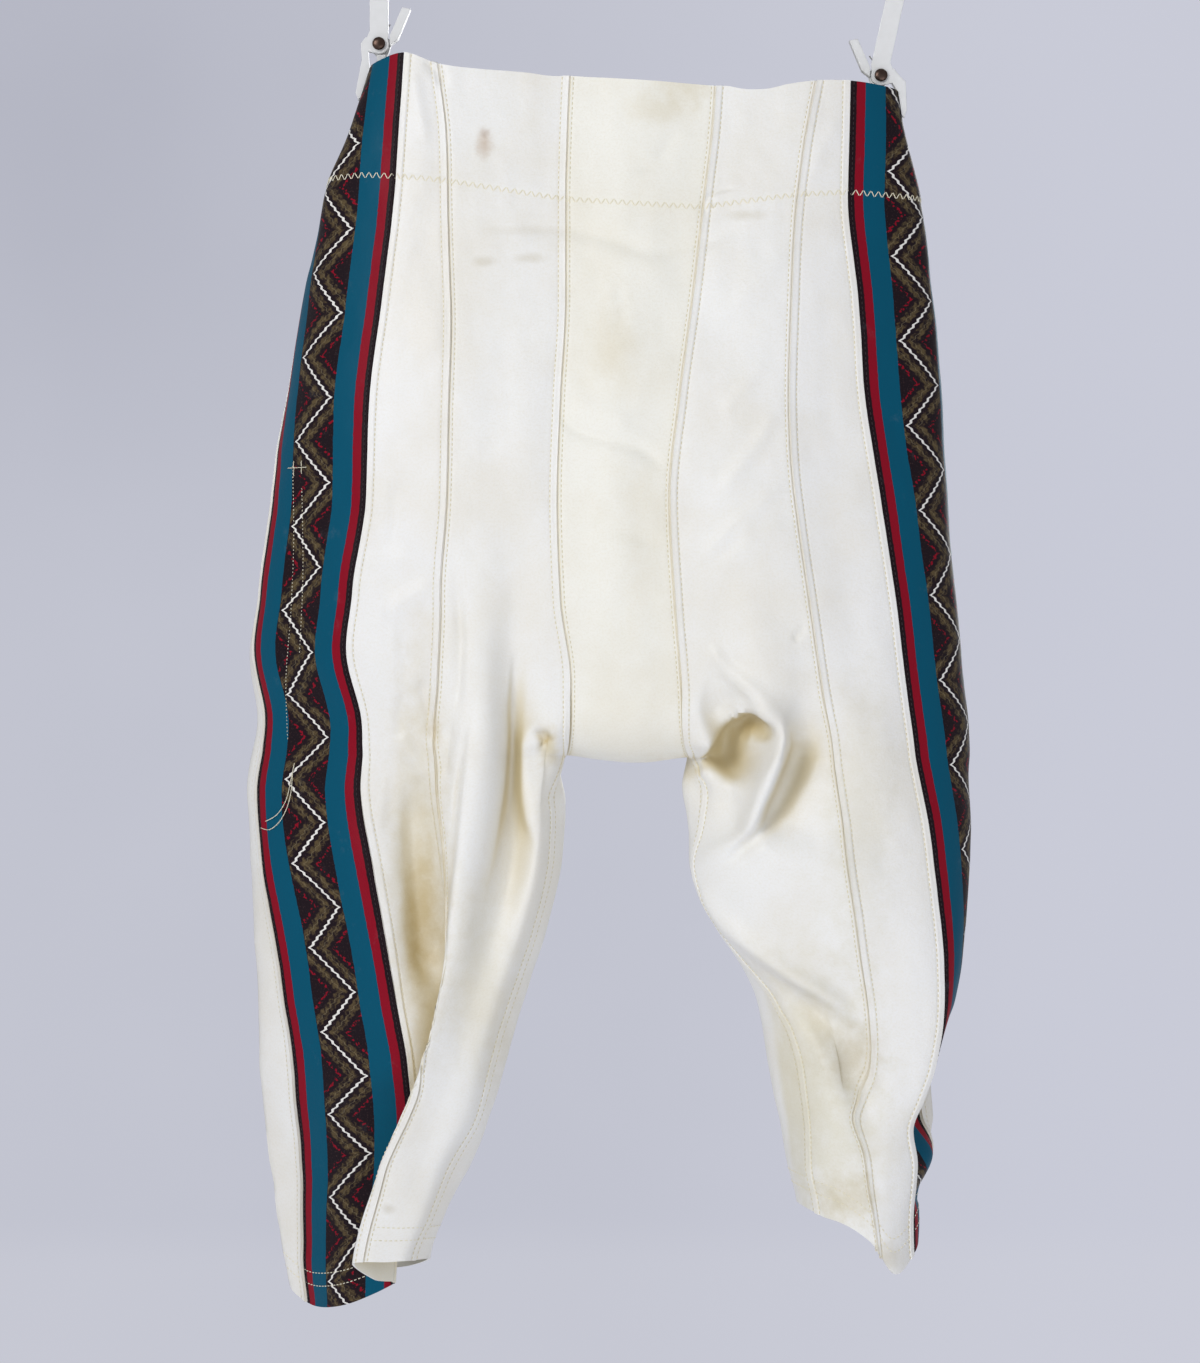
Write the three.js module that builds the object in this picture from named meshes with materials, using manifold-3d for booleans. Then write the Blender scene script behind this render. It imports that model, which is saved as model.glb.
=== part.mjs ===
// Football pants hanging by the waist from a clip hanger. Millimetres, +Z up.
// The origin is the inside top of the hanger's hook, where a rail carries it.
// The wearer's back faces -Y, and "left" and "right" are as seen from there.
//
// The cloth is worked out from horizontal sections. Each half of the pants is one
// sheet that runs from the back centre seam round the side to the front centre seam,
// and below the crotch from the inseam right round the leg. A table gives each
// section's points; the seams lie at cloth lengths measured from the side stripe.
// A centre strip joins the halves at the back, under the crotch and at the front.
import * as THREE from 'three';
import { mergeVertices } from 'three/addons/utils/BufferGeometryUtils.js';
import Module from 'manifold-3d';

// ---------------------------------------------------------------- cloth sizes
const CLOTH = 1.2;                // one layer of stretch satin, as a wall
const DOUBLED = 2.0;              // waist casing and leg hems, turned in and stitched
const SEAM_GAP = 0.3;             // between two panels at a seam
const CASING_DEPTH = 72;          // height of the turned-in waist casing
const HEM_DEPTH = 16;             // height of the turned-in leg hem
const STRIPE_WIDTH = 82;          // side stripe, seam to seam

// ---------------------------------------------------------------- levels, as drops below the origin
const WAIST_LEVEL = 144;          // nominal waist edge
const WAIST_BLEND = 228;          // the waist edge's slope has faded out here
const RISE_LEVEL = 528;           // the centre strip starts to curve under
const CROTCH_LEVEL = 562;         // lowest line of the centre strip, top of the inseams
const CLOSING_LEVEL = 508;        // from here down a section's two ends turn to each other
const HEM_BLEND = 744;            // the leg hems' slope starts here
const HEM_LEVEL = 864;            // nominal leg hem
const CROTCH_DEPTH = 5;           // y of the inseams' tops
const RISE_ROWS = 16;             // rows of the walls from waist to rise
const CROTCH_ROWS = 6;            // rows round the curve under the crotch
const LEG_ROWS = 17;              // rows from crotch to hem
const LEG_SPREAD = 1.25;          // they start close together and spread out

// ---------------------------------------------------------------- section tables
// Left half. One row a section: drop, then x and y of the points in the order of
// `columns`, from the back centre seam outwards and back along the front.
const LEFT = {
  side: 'left',
  columns: ['seam', 'lip', 'valley', 'ridge', 'tuck', 'stripeBack', 'stripeMid', 'stripeFront',
    'side', 'frontMid', 'frontInner', 'inner', 'frontSeam'],
  sections: [
    { drop: 140, x: [-32, -44, -60, -87, -111, -132, -150, -144, -129, -93, -57, -42, -32],
      y: [-12, -12, -13, -14, -15, -13, 3, 25, 29, 28, 26, 25, 25] },
    { drop: 186, x: [-34, -45, -62, -88, -112, -135, -165, -160, -141, -96, -58, -43, -34],
      y: [-15, -15, -16, -17, -18, -16, 4, 28, 35, 33, 30, 29, 29] },
    { drop: 228, x: [-35, -46, -63, -89, -112, -138, -181, -177, -156, -102, -60, -45, -35],
      y: [-19, -19, -20, -21, -21, -18, 10, 36, 43, 38, 34, 33, 33] },
    { drop: 288, x: [-35, -47, -64, -92, -117, -145, -185, -195, -179, -108, -62, -45, -35],
      y: [-25, -26, -27, -28, -27, -22, 4, 34, 50, 44, 38, 37, 37] },
    { drop: 348, x: [-38, -49, -66, -96, -124, -152, -190, -205, -195, -117, -64, -48, -38],
      y: [-31, -32, -33, -34, -31, -24, 2, 32, 52, 48, 42, 41, 41] },
    { drop: 408, x: [-40, -50, -66, -96, -126, -154, -193, -214, -211, -123, -66, -49, -39],
      y: [-35, -36, -37, -37, -33, -26, 0, 30, 50, 50, 44, 43, 43] },
    { drop: 468, x: [-38, -48, -65, -86, -117, -164, -197, -223, -220, -129, -68, -48, -38],
      y: [-37, -37, -35, -40, -35, -27, 0, 30, 50, 52, 46, 45, 45] },
    { drop: 516, x: [-32, -46, -67, -83, -113, -161, -193, -220, -225, -135, -69, -46, -33],
      y: [-31, -31, -26, -40, -33, -27, -2, 26, 44, 50, 46, 43, 38] },
    { drop: 552, x: [-33, -46, -67, -87, -114, -157, -188, -218, -226, -138, -72, -46, -33],
      y: [-18, -26, -15, -41, -30, -26, -4, 22, 40, 48, 42, 30, 27] },
    { drop: 562, x: [-36, -46, -67, -88, -115, -155, -187, -217, -226, -139, -73, -44, -36],
      y: [5, -20, -13, -41, -29, -26, -5, 21, 39, 47, 40, 24, 5] },
    { drop: 588, x: [-41, -50, -67, -91, -115, -153, -185, -216, -225, -140, -75, -35, -41],
      y: [-8, -24, -13, -41, -26, -26, -7, 18, 37, 44, 34, 8, -8] },
    { drop: 624, x: [-43, -53, -69, -97, -113, -148, -182, -216, -224, -142, -78, -37, -43],
      y: [-10, -26, -17, -42, -24, -28, -10, 14, 36, 40, 30, 4, -10] },
    { drop: 666, x: [-53, -63, -78, -104, -109, -142, -177, -213, -224, -147, -87, -47, -53],
      y: [-12, -28, -28, -45, -22, -30, -10, 14, 36, 38, 28, 2, -12] },
    { drop: 708, x: [-67, -76, -91, -112, -104, -136, -171, -207, -223, -152, -99, -61, -67],
      y: [-14, -29, -34, -46, -24, -30, -12, 12, 34, 36, 27, 0, -14] },
    { drop: 744, x: [-78, -87, -102, -121, -108, -130, -165, -201, -223, -155, -107, -71, -78],
      y: [-16, -30, -37, -46, -27, -27, -11, 14, 36, 38, 28, -1, -16] },
    { drop: 774, x: [-86, -95, -111, -133, -119, -128, -163, -199, -221, -159, -113, -80, -86],
      y: [-18, -31, -38, -45, -29, -17, -3, 22, 42, 42, 28, -3, -18] },
    { drop: 804, x: [-102, -110, -123, -145, -129, -130, -165, -198, -218, -161, -119, -92, -102],
      y: [-20, -32, -37, -43, -28, -13, 4, 32, 48, 46, 29, -5, -20] },
    { drop: 834, x: [-114, -120, -133, -155, -142, -135, -168, -197, -214, -164, -125, -107, -114],
      y: [-21, -32, -37, -42, -26, -11, 8, 38, 52, 48, 31, -6, -21] },
    { drop: 864, x: [-125, -130, -141, -161, -149, -138, -169, -197, -209, -164, -132, -116, -125],
      y: [-22, -32, -37, -42, -26, -10, 10, 42, 54, 50, 32, -7, -22] },
    { drop: 894, x: [-125, -130, -141, -163, -149, -140, -168, -192, -202, -164, -132, -116, -125],
      y: [-22, -32, -37, -42, -26, -9, 10, 42, 54, 50, 32, -7, -22] },
  ],
  waist: [155, 155, 153, 151, 148, 141, 147, 150, 152, 156, 160, 160, 160],
  hem: [861, 860, 860, 860, 872, 876, 892, 896, 886, 877, 872, 862, 861],
  // cloth width of the outer back panel, seam to stripe
  outerWidth: { drop: [144, 186, 228, 348, 408, 468, 516, 562, 624, 666, 708, 744, 774, 804, 834, 864],
    width: [22, 29, 33, 49, 50, 56, 51, 43, 42, 46, 50, 47, 43, 42, 46, 50] },
};

// Right half, in the same form. It turns away from the back, so its lower leg is deeper
// in y, and above the hem its stripe sinks into a fold.
const RIGHT = {
  side: 'right',
  columns: ['seam', 'lip', 'valley', 'ridge', 'dip', 'outer', 'stripeBack', 'stripeMid',
    'stripeFront', 'side', 'frontMid', 'frontInner', 'inner', 'frontSeam'],
  sections: [
    { drop: 140, x: [55, 62, 72, 84, 99, 116, 135, 159, 155, 141, 105, 75, 63, 55],
      y: [-12, -12, -13, -13, -14, -14, -13, 3, 25, 30, 29, 27, 26, 25] },
    { drop: 186, x: [52, 59, 70, 84, 99, 114, 134, 167, 163, 144, 105, 73, 61, 52],
      y: [-15, -15, -16, -17, -18, -18, -16, 4, 28, 35, 33, 31, 30, 29] },
    { drop: 228, x: [47, 56, 68, 81, 96, 112, 133, 177, 175, 148, 108, 70, 57, 47],
      y: [-19, -19, -20, -21, -21, -21, -18, 8, 34, 43, 38, 35, 34, 33] },
    { drop: 288, x: [40, 50, 63, 78, 96, 116, 139, 184, 182, 155, 108, 66, 50, 40],
      y: [-25, -26, -27, -28, -28, -27, -23, 8, 36, 50, 46, 39, 38, 37] },
    { drop: 348, x: [32, 44, 58, 75, 96, 118, 143, 188, 188, 161, 111, 60, 43, 33],
      y: [-31, -32, -33, -34, -33, -30, -25, 6, 36, 54, 50, 43, 42, 41] },
    { drop: 408, x: [26, 38, 54, 72, 96, 122, 152, 191, 193, 167, 114, 54, 37, 26],
      y: [-35, -36, -38, -39, -37, -32, -26, 4, 36, 56, 52, 45, 44, 43] },
    { drop: 468, x: [29, 40, 55, 75, 99, 128, 161, 197, 198, 173, 117, 56, 39, 29],
      y: [-37, -38, -40, -42, -40, -35, -27, 2, 34, 56, 54, 47, 46, 45] },
    { drop: 516, x: [33, 43, 57, 80, 104, 135, 167, 201, 204, 182, 122, 63, 45, 34],
      y: [-31, -34, -35, -45, -40, -36, -27, 2, 32, 54, 54, 46, 43, 38] },
    { drop: 552, x: [36, 46, 61, 94, 106, 140, 172, 204, 207, 188, 128, 70, 45, 36],
      y: [-18, -27, -6, -47, -30, -38, -27, 1, 31, 54, 54, 44, 32, 27] },
    { drop: 562, x: [40, 49, 63, 91, 103, 141, 173, 205, 207, 189, 129, 71, 39, 40],
      y: [5, -12, -3, -47, -26, -38, -27, 1, 31, 54, 53, 42, 22, 5] },
    { drop: 579, x: [47, 54, 66, 83, 98, 142, 176, 205, 207, 190, 131, 74, 35, 47],
      y: [-3, -11, -14, -44, -27, -38, -27, 0, 30, 54, 52, 42, 16, -3] },
    { drop: 600, x: [45, 53, 65, 76, 90, 144, 180, 206, 207, 190, 133, 78, 38, 45],
      y: [-4, -14, -24, -39, -31, -38, -27, 0, 30, 54, 52, 44, 15, -4] },
    { drop: 624, x: [40, 48, 62, 78, 105, 147, 183, 205, 205, 189, 135, 81, 40, 40],
      y: [-2, -16, -29, -36, -39, -38, -27, -2, 28, 54, 54, 46, 16, -2] },
    { drop: 666, x: [56, 64, 79, 99, 123, 154, 188, 203, 201, 185, 141, 96, 59, 56],
      y: [-2, -18, -28, -33, -35, -35, -27, -6, 26, 54, 58, 50, 22, -2] },
    { drop: 708, x: [88, 95, 105, 117, 133, 159, 190, 198, 197, 185, 147, 102, 79, 88],
      y: [-8, -20, -27, -30, -28, -33, -27, -8, 26, 54, 64, 54, 22, -8] },
    { drop: 744, x: [103, 110, 118, 128, 141, 160, 185, 178, 180, 187, 151, 108, 86, 103],
      y: [-16, -24, -30, -32, -26, -31, -28, -4, 35, 56, 68, 56, 18, -16] },
    { drop: 765, x: [106, 112, 121, 130, 142, 158, 177, 160, 174, 188, 152, 112, 90, 106],
      y: [-17, -25, -31, -33, -29, -32, -27, -2, 40, 50, 70, 58, 16, -17] },
    { drop: 783, x: [108, 114, 122, 131, 142, 156, 170, 153, 179, 189, 150, 115, 94, 108],
      y: [-18, -26, -32, -34, -32, -32, -25, 0, 40, 50, 70, 58, 15, -18] },
    { drop: 804, x: [109, 115, 123, 133, 143, 156, 173, 160, 188, 182, 149, 118, 98, 109],
      y: [-18, -26, -32, -35, -34, -33, -23, 1, 36, 56, 70, 58, 14, -18] },
    { drop: 834, x: [114, 119, 127, 135, 146, 158, 171, 176, 174, 178, 147, 122, 105, 114],
      y: [-18, -25, -31, -34, -34, -31, -20, -6, 30, 50, 66, 54, 14, -18] },
    { drop: 870, x: [114, 119, 127, 136, 147, 160, 172, 174, 172, 175, 146, 122, 106, 114],
      y: [-18, -25, -31, -34, -34, -31, -18, -8, 28, 48, 64, 52, 14, -18] },
  ],
  waist: [161, 161, 163, 163, 160, 158, 158, 161, 163, 164, 165, 165, 165, 163],
  hem: [833, 835, 837, 841, 850, 868, 858, 852, 851, 850, 846, 838, 830, 833],
  outerWidth: { drop: [144, 186, 228, 288, 348, 408, 468, 516, 562, 624, 666, 708, 744, 774, 804, 840],
    width: [21, 27, 31, 41, 47, 53, 54, 53, 53, 54, 52, 48, 42, 40, 39, 38] },
};

// Panels of one half, in the order of the sections. The mesh follows the table's columns
// named in `through`, with so many cells across before, between and after them.
const PANELS = [
  { name: 'back_inner', from: 'start', to: 'outerSeam', through: ['lip', 'valley', 'ridge'],
    cells: [2, 3, 4, 5], colour: 0xeceae0 },
  { name: 'back_outer', from: 'outerSeam', to: 'stripeBack', through: [], cells: [6],
    colour: 0xebe9e1 },
  { name: 'side_stripe', from: 'stripeBack', to: 'stripeFront', through: ['stripeMid'],
    cells: [4, 4], colour: 0x13596e },
  { name: 'front', from: 'stripeFront', to: 'end', through: [], cells: [9], colour: 0xe8e6dd },
];
const LEAST_CELL = 1.2;           // a followed column never crowds the cells after it more
const CENTRE_CELLS = 4;
const CENTRE_BULGE = 3;           // the strip's middle stands this far out
const CENTRE_COLOUR = 0xe9e3d0;

const SPAN_STEPS = 12;            // curve samples between two points of a section
const NORMAL_REACH = 4;           // cloth length over which a wall's direction is taken

// ---------------------------------------------------------------- curves
// Smooth curve through a column of a table that never overshoots its rows.
function columnCurve(positions, values) {
  const last = positions.length - 1;
  const slopes = [];
  for (let i = 0; i < last; i += 1) {
    slopes.push((values[i + 1] - values[i]) / (positions[i + 1] - positions[i]));
  }
  const tangents = positions.map((_, i) => {
    if (i === 0) return slopes[0];
    if (i === last) return slopes[last - 1];
    if (slopes[i - 1] * slopes[i] <= 0) return 0;
    const before = positions[i] - positions[i - 1];
    const after = positions[i + 1] - positions[i];
    const weightBefore = 2 * after + before;
    const weightAfter = after + 2 * before;
    return (weightBefore + weightAfter) / (weightBefore / slopes[i - 1] + weightAfter / slopes[i]);
  });
  return (at) => {
    if (at <= positions[0]) return values[0];
    if (at >= positions[last]) return values[last];
    let i = 0;
    while (at > positions[i + 1]) i += 1;
    const width = positions[i + 1] - positions[i];
    const t = (at - positions[i]) / width;
    const t2 = t * t;
    const t3 = t2 * t;
    return (2 * t3 - 3 * t2 + 1) * values[i] + (t3 - 2 * t2 + t) * width * tangents[i]
      + (3 * t2 - 2 * t3) * values[i + 1] + (t3 - t2) * width * tangents[i + 1];
  };
}

function smoothstep(low, high, at) {
  const t = Math.min(Math.max((at - low) / (high - low), 0), 1);
  return t * t * (3 - 2 * t);
}

// Centripetal Catmull-Rom span from b to c.
function curveSpan(a, b, c, d, steps) {
  const knot = (p, q) => Math.max(Math.sqrt(p.distanceTo(q)), 1e-3);
  const t1 = knot(a, b);
  const t2 = t1 + knot(b, c);
  const t3 = t2 + knot(c, d);
  const mix = (p, q, tp, tq, t) => p.clone().multiplyScalar((tq - t) / (tq - tp))
    .addScaledVector(q, (t - tp) / (tq - tp));
  const points = [];
  for (let i = 0; i < steps; i += 1) {
    const t = t1 + ((t2 - t1) * i) / steps;
    const ab = mix(a, b, 0, t1, t);
    const bc = mix(b, c, t1, t2, t);
    const cd = mix(c, d, t2, t3, t);
    const abc = mix(ab, bc, 0, t2, t);
    const bcd = mix(bc, cd, t1, t3, t);
    points.push(mix(abc, bcd, t1, t2, t));
  }
  return points;
}

// ---------------------------------------------------------------- one half of the pants
function prepareHalf(half) {
  const drops = half.sections.map((section) => section.drop);
  half.curves = half.columns.map((_, column) => ({
    x: columnCurve(drops, half.sections.map((section) => section.x[column])),
    y: columnCurve(drops, half.sections.map((section) => section.y[column])),
  }));
  half.outer = columnCurve(half.outerWidth.drop, half.outerWidth.width);
  half.stripeColumn = half.columns.indexOf('stripeBack');
  return half;
}

// The drop of a column at a nominal level: waist edge and hem slope from column to column.
function columnDrop(half, column, level) {
  if (level < WAIST_BLEND) {
    const share = (WAIST_BLEND - level) / (WAIST_BLEND - WAIST_LEVEL);
    return WAIST_BLEND - share * (WAIST_BLEND - half.waist[column]);
  }
  if (level > HEM_BLEND) {
    const share = (level - HEM_BLEND) / (HEM_LEVEL - HEM_BLEND);
    return HEM_BLEND + share * (half.hem[column] - HEM_BLEND);
  }
  return level;
}

// Edge of the centre strip between rise and crotch: a quarter of an ellipse.
function risePoint(half, column, level) {
  const curve = half.curves[column];
  const fall = (level - RISE_LEVEL) / (CROTCH_LEVEL - RISE_LEVEL);
  const share = Math.sqrt(Math.max(0, 1 - fall * fall));
  const x = THREE.MathUtils.lerp(curve.x(CROTCH_LEVEL), curve.x(RISE_LEVEL), share);
  const y = THREE.MathUtils.lerp(CROTCH_DEPTH, curve.y(RISE_LEVEL), share);
  return new THREE.Vector3(x, y, -level);
}

function columnPoint(half, column, level) {
  const onEdge = column === 0 || column === half.columns.length - 1;
  if (onEdge && level > RISE_LEVEL && level < CROTCH_LEVEL) return risePoint(half, column, level);
  // below the crotch the section closes on the inseam, its first column
  const from = onEdge && level >= CROTCH_LEVEL ? 0 : column;
  const drop = columnDrop(half, from, level);
  return new THREE.Vector3(half.curves[from].x(drop), half.curves[from].y(drop), -drop);
}

// One section as a dense line with its cloth length, and the places of its seams.
function makeSection(half, level, middleBack, middleFront) {
  const points = half.columns.map((_, column) => columnPoint(half, column, level));
  const last = points.length - 1;
  const closed = smoothstep(CLOSING_LEVEL, CROTCH_LEVEL, level);
  const before = middleBack.clone().lerp(points[last - 1], closed);
  const after = middleFront.clone().lerp(points[1], closed);
  const all = [before, ...points, after];
  const line = [];
  const columnIndex = [];
  for (let i = 0; i < last; i += 1) {
    columnIndex.push(line.length);
    line.push(...curveSpan(all[i], all[i + 1], all[i + 2], all[i + 3], SPAN_STEPS));
  }
  line.push(points[last]);
  const lengths = [0];
  for (let i = 1; i < line.length; i += 1) {
    lengths.push(lengths[i - 1] + line[i].distanceTo(line[i - 1]));
  }
  const total = lengths[lengths.length - 1];
  const stripeBack = lengths[columnIndex[half.stripeColumn]];
  const marks = {};
  columnIndex.forEach((index, column) => {
    marks[half.columns[column]] = lengths[index];
  });
  return {
    line,
    lengths,
    marks,
    level,
    loop: level >= CROTCH_LEVEL,
    seams: {
      start: 0,
      outerSeam: stripeBack - half.outer(level),
      stripeBack,
      stripeFront: stripeBack + STRIPE_WIDTH,
      end: total,
    },
  };
}

function pointAt(section, length) {
  const { line, lengths } = section;
  const total = lengths[lengths.length - 1];
  let at = length;
  if (section.loop) at = ((length % total) + total) % total;
  at = Math.min(Math.max(at, 0), total);
  let low = 0;
  let high = lengths.length - 1;
  while (high - low > 1) {
    const middle = (low + high) >> 1;
    if (lengths[middle] <= at) low = middle;
    else high = middle;
  }
  const share = (at - lengths[low]) / Math.max(lengths[high] - lengths[low], 1e-9);
  return line[low].clone().lerp(line[high], share);
}

// ---------------------------------------------------------------- walls
function wallThickness(level) {
  if (level < WAIST_LEVEL + CASING_DEPTH) return DOUBLED;
  if (level > HEM_LEVEL - HEM_DEPTH) return DOUBLED;
  return CLOTH;
}

// A closed wall between an outer and an inner grid of the same rows and columns.
function wallGeometry(outer, inner, turnRow = Infinity) {
  const rows = outer.length;
  const columns = outer[0].length;
  const positions = [];
  [outer, inner].forEach((grid) => grid.forEach((row) => row.forEach((p) => {
    positions.push(p.x, p.y, p.z);
  })));
  const at = (layer, row, column) => (layer * rows + row) * columns + column;
  const triangles = [];
  const quad = (a, b, c, d) => triangles.push(a, b, c, a, c, d);
  for (let r = 0; r < rows - 1; r += 1) {
    for (let c = 0; c < columns - 1; c += 1) {
      quad(at(0, r, c), at(0, r + 1, c), at(0, r + 1, c + 1), at(0, r, c + 1));
      quad(at(1, r, c), at(1, r, c + 1), at(1, r + 1, c + 1), at(1, r + 1, c));
    }
    // Edge faces are split the same way down the garment, so that two panels stay
    // parallel at a seam; past the turn row the strip's rows run upwards.
    const edge = columns - 1;
    if (r < turnRow) {
      quad(at(0, r, 0), at(1, r, 0), at(1, r + 1, 0), at(0, r + 1, 0));
      quad(at(0, r, edge), at(0, r + 1, edge), at(1, r + 1, edge), at(1, r, edge));
    } else {
      quad(at(1, r, 0), at(1, r + 1, 0), at(0, r + 1, 0), at(0, r, 0));
      quad(at(1, r, edge), at(0, r, edge), at(0, r + 1, edge), at(1, r + 1, edge));
    }
  }
  for (let c = 0; c < columns - 1; c += 1) {
    quad(at(0, 0, c), at(0, 0, c + 1), at(1, 0, c + 1), at(1, 0, c));
    quad(at(0, rows - 1, c + 1), at(0, rows - 1, c), at(1, rows - 1, c), at(1, rows - 1, c + 1));
  }
  const geometry = new THREE.BufferGeometry();
  geometry.setAttribute('position', new THREE.Float32BufferAttribute(positions, 3));
  geometry.setIndex(triangles);
  return faceOutwards(geometry);
}

// Turns the triangles round if the solid they close has its faces pointing in.
function faceOutwards(geometry) {
  const position = geometry.getAttribute('position');
  const index = geometry.getIndex();
  const corner = (i) => new THREE.Vector3().fromBufferAttribute(position, index.getX(i));
  let volume = 0;
  for (let i = 0; i < index.count; i += 3) {
    volume += corner(i).dot(corner(i + 1).cross(corner(i + 2)));
  }
  if (volume < 0) {
    for (let i = 0; i < index.count; i += 3) {
      const second = index.getX(i + 1);
      index.setX(i + 1, index.getX(i + 2));
      index.setX(i + 2, second);
    }
  }
  geometry.computeVertexNormals();
  return geometry;
}

// Unit vector into the garment, from the cloth's direction along a row and down the rows.
function inwardAt(across, fall, inwardSign) {
  return across.clone().cross(fall).normalize().multiplyScalar(inwardSign);
}

// Direction of the cloth along a section, at a cloth length.
function acrossAt(section, length) {
  return pointAt(section, length + NORMAL_REACH).sub(pointAt(section, length - NORMAL_REACH));
}

function fallAt(grid, r, c) {
  const up = grid[Math.max(r - 1, 0)][c];
  const down = grid[Math.min(r + 1, grid.length - 1)][c];
  return down.clone().sub(up);
}

// At a seam both panels take one shared direction, so that their edges stay parallel.
function seamInward(sections, seam, inwardSign) {
  const edge = sections.map((section) => pointAt(section, section.seams[seam]));
  return sections.map((section, r) => {
    const first = section.loop ? Math.max(r - 1, CROTCH_ROW) : Math.max(r - 1, 0);
    const last = Math.min(r + 1, sections.length - 1);
    const fall = edge[last].clone().sub(edge[first]);
    const inward = inwardAt(acrossAt(section, section.seams[seam]), fall, inwardSign);
    if ((seam === 'start' || seam === 'end') && r <= CROTCH_ROW) {
      inward.add(centreInward(r, seam === 'end')).normalize();
    }
    return inward;
  });
}

// Cloth lengths of a panel's columns at a section.
function columnLengths(section, panel) {
  const from = section.seams[panel.from] + SEAM_GAP / 2;
  const to = section.seams[panel.to] - SEAM_GAP / 2;
  const lengths = [from];
  const { cells, through } = panel;
  cells.forEach((count, span) => {
    const after = cells.slice(span + 1).reduce((sum, cell) => sum + cell, 0);
    const mark = span < through.length ? section.marks[through[span]] : to;
    const start = lengths[lengths.length - 1];
    const end = Math.min(mark, to - LEAST_CELL * after);
    for (let i = 1; i <= count; i += 1) {
      lengths.push(THREE.MathUtils.lerp(start, end, i / count));
    }
  });
  return lengths;
}

function panelGeometry(sections, panel, inwardSign) {
  const lengths = sections.map((section) => columnLengths(section, panel));
  const outer = sections.map((section, r) => lengths[r].map((at) => pointAt(section, at)));
  const fromInward = seamInward(sections, panel.from, inwardSign);
  const toInward = seamInward(sections, panel.to, inwardSign);
  const inner = outer.map((row, r) => row.map((point, c) => {
    const section = sections[r];
    let inward;
    if (c === 0) inward = fromInward[r];
    else if (c === row.length - 1) inward = toInward[r];
    else {
      const across = acrossAt(section, lengths[r][c]);
      inward = inwardAt(across, fallAt(outer, r, c), inwardSign);
    }
    return point.clone().addScaledVector(inward, wallThickness(section.level));
  }));
  return wallGeometry(outer, inner);
}

// ---------------------------------------------------------------- levels of the rows
const LEVELS = [];
for (let i = 0; i < RISE_ROWS; i += 1) {
  LEVELS.push(THREE.MathUtils.lerp(WAIST_LEVEL, RISE_LEVEL, i / RISE_ROWS));
}
for (let i = 0; i < CROTCH_ROWS; i += 1) {
  const angle = (Math.PI / 2) * (i / CROTCH_ROWS);
  LEVELS.push(RISE_LEVEL + (CROTCH_LEVEL - RISE_LEVEL) * Math.sin(angle));
}
for (let i = 0; i <= LEG_ROWS; i += 1) {
  LEVELS.push(THREE.MathUtils.lerp(CROTCH_LEVEL, HEM_LEVEL, (i / LEG_ROWS) ** LEG_SPREAD));
}
const CROTCH_ROW = RISE_ROWS + CROTCH_ROWS;

prepareHalf(LEFT);
prepareHalf(RIGHT);

// Middle of the centre strip at a level, at the back or at the front.
function centreMiddle(level, atFront) {
  const left = columnPoint(LEFT, atFront ? LEFT.columns.length - 1 : 0, level);
  const right = columnPoint(RIGHT, atFront ? RIGHT.columns.length - 1 : 0, level);
  const middle = left.lerp(right, 0.5);
  middle.y += atFront ? CENTRE_BULGE : -CENTRE_BULGE;
  return middle;
}

function sectionsOf(half) {
  return LEVELS.map((level) => makeSection(half, level,
    centreMiddle(level, false), centreMiddle(level, true)));
}

const garment = new THREE.Group();

function clothMaterial(colour) {
  return new THREE.MeshStandardMaterial({ color: colour, roughness: 0.42, metalness: 0 });
}

function addCloth(name, geometry, colour) {
  const mesh = new THREE.Mesh(geometry, clothMaterial(colour));
  mesh.name = name;
  garment.add(mesh);
}

const LEFT_SECTIONS = sectionsOf(LEFT);
const RIGHT_SECTIONS = sectionsOf(RIGHT);

// ---------------------------------------------------------------- centre strip
// Edge point of the strip on one half, at a row.
function centreEdge(sections, r, atFront) {
  const { line } = sections[r];
  return (atFront ? line[line.length - 1] : line[0]).clone();
}

// The strip's direction into the garment at a row, the same all across.
function centreInward(r, atFront) {
  const across = centreEdge(RIGHT_SECTIONS, r, atFront).sub(centreEdge(LEFT_SECTIONS, r, atFront));
  if (r === CROTCH_ROW) return new THREE.Vector3(0, 0, 1);
  const middle = (row) => centreEdge(LEFT_SECTIONS, row, atFront)
    .lerp(centreEdge(RIGHT_SECTIONS, row, atFront), 0.5);
  const fall = middle(r + 1).sub(middle(Math.max(r - 1, 0)));
  return inwardAt(across, fall, atFront ? -1 : 1);
}

// One row of the strip: outer and inner points. Its edges share the halves' direction.
function centreRow(r, atFront, seams) {
  const left = centreEdge(LEFT_SECTIONS, r, atFront);
  const right = centreEdge(RIGHT_SECTIONS, r, atFront);
  const inset = SEAM_GAP / 2 / left.distanceTo(right);
  const inward = centreInward(r, atFront);
  const thickness = wallThickness(LEVELS[r]);
  const side = atFront ? 'end' : 'start';
  const outer = [];
  const inner = [];
  for (let c = 0; c <= CENTRE_CELLS; c += 1) {
    const share = inset + (1 - 2 * inset) * (c / CENTRE_CELLS);
    const bulge = CENTRE_BULGE * Math.sin(Math.PI * share) ** 2;
    const point = left.clone().lerp(right, share).addScaledVector(inward, -bulge);
    let direction = inward;
    if (c === 0) direction = seams.left[side][r];
    if (c === CENTRE_CELLS) direction = seams.right[side][r];
    outer.push(point);
    inner.push(point.clone().addScaledVector(direction, thickness));
  }
  return { outer, inner };
}

function centreGeometry(rows) {
  return wallGeometry(rows.map((row) => row.outer), rows.map((row) => row.inner), CROTCH_ROW);
}

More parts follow.
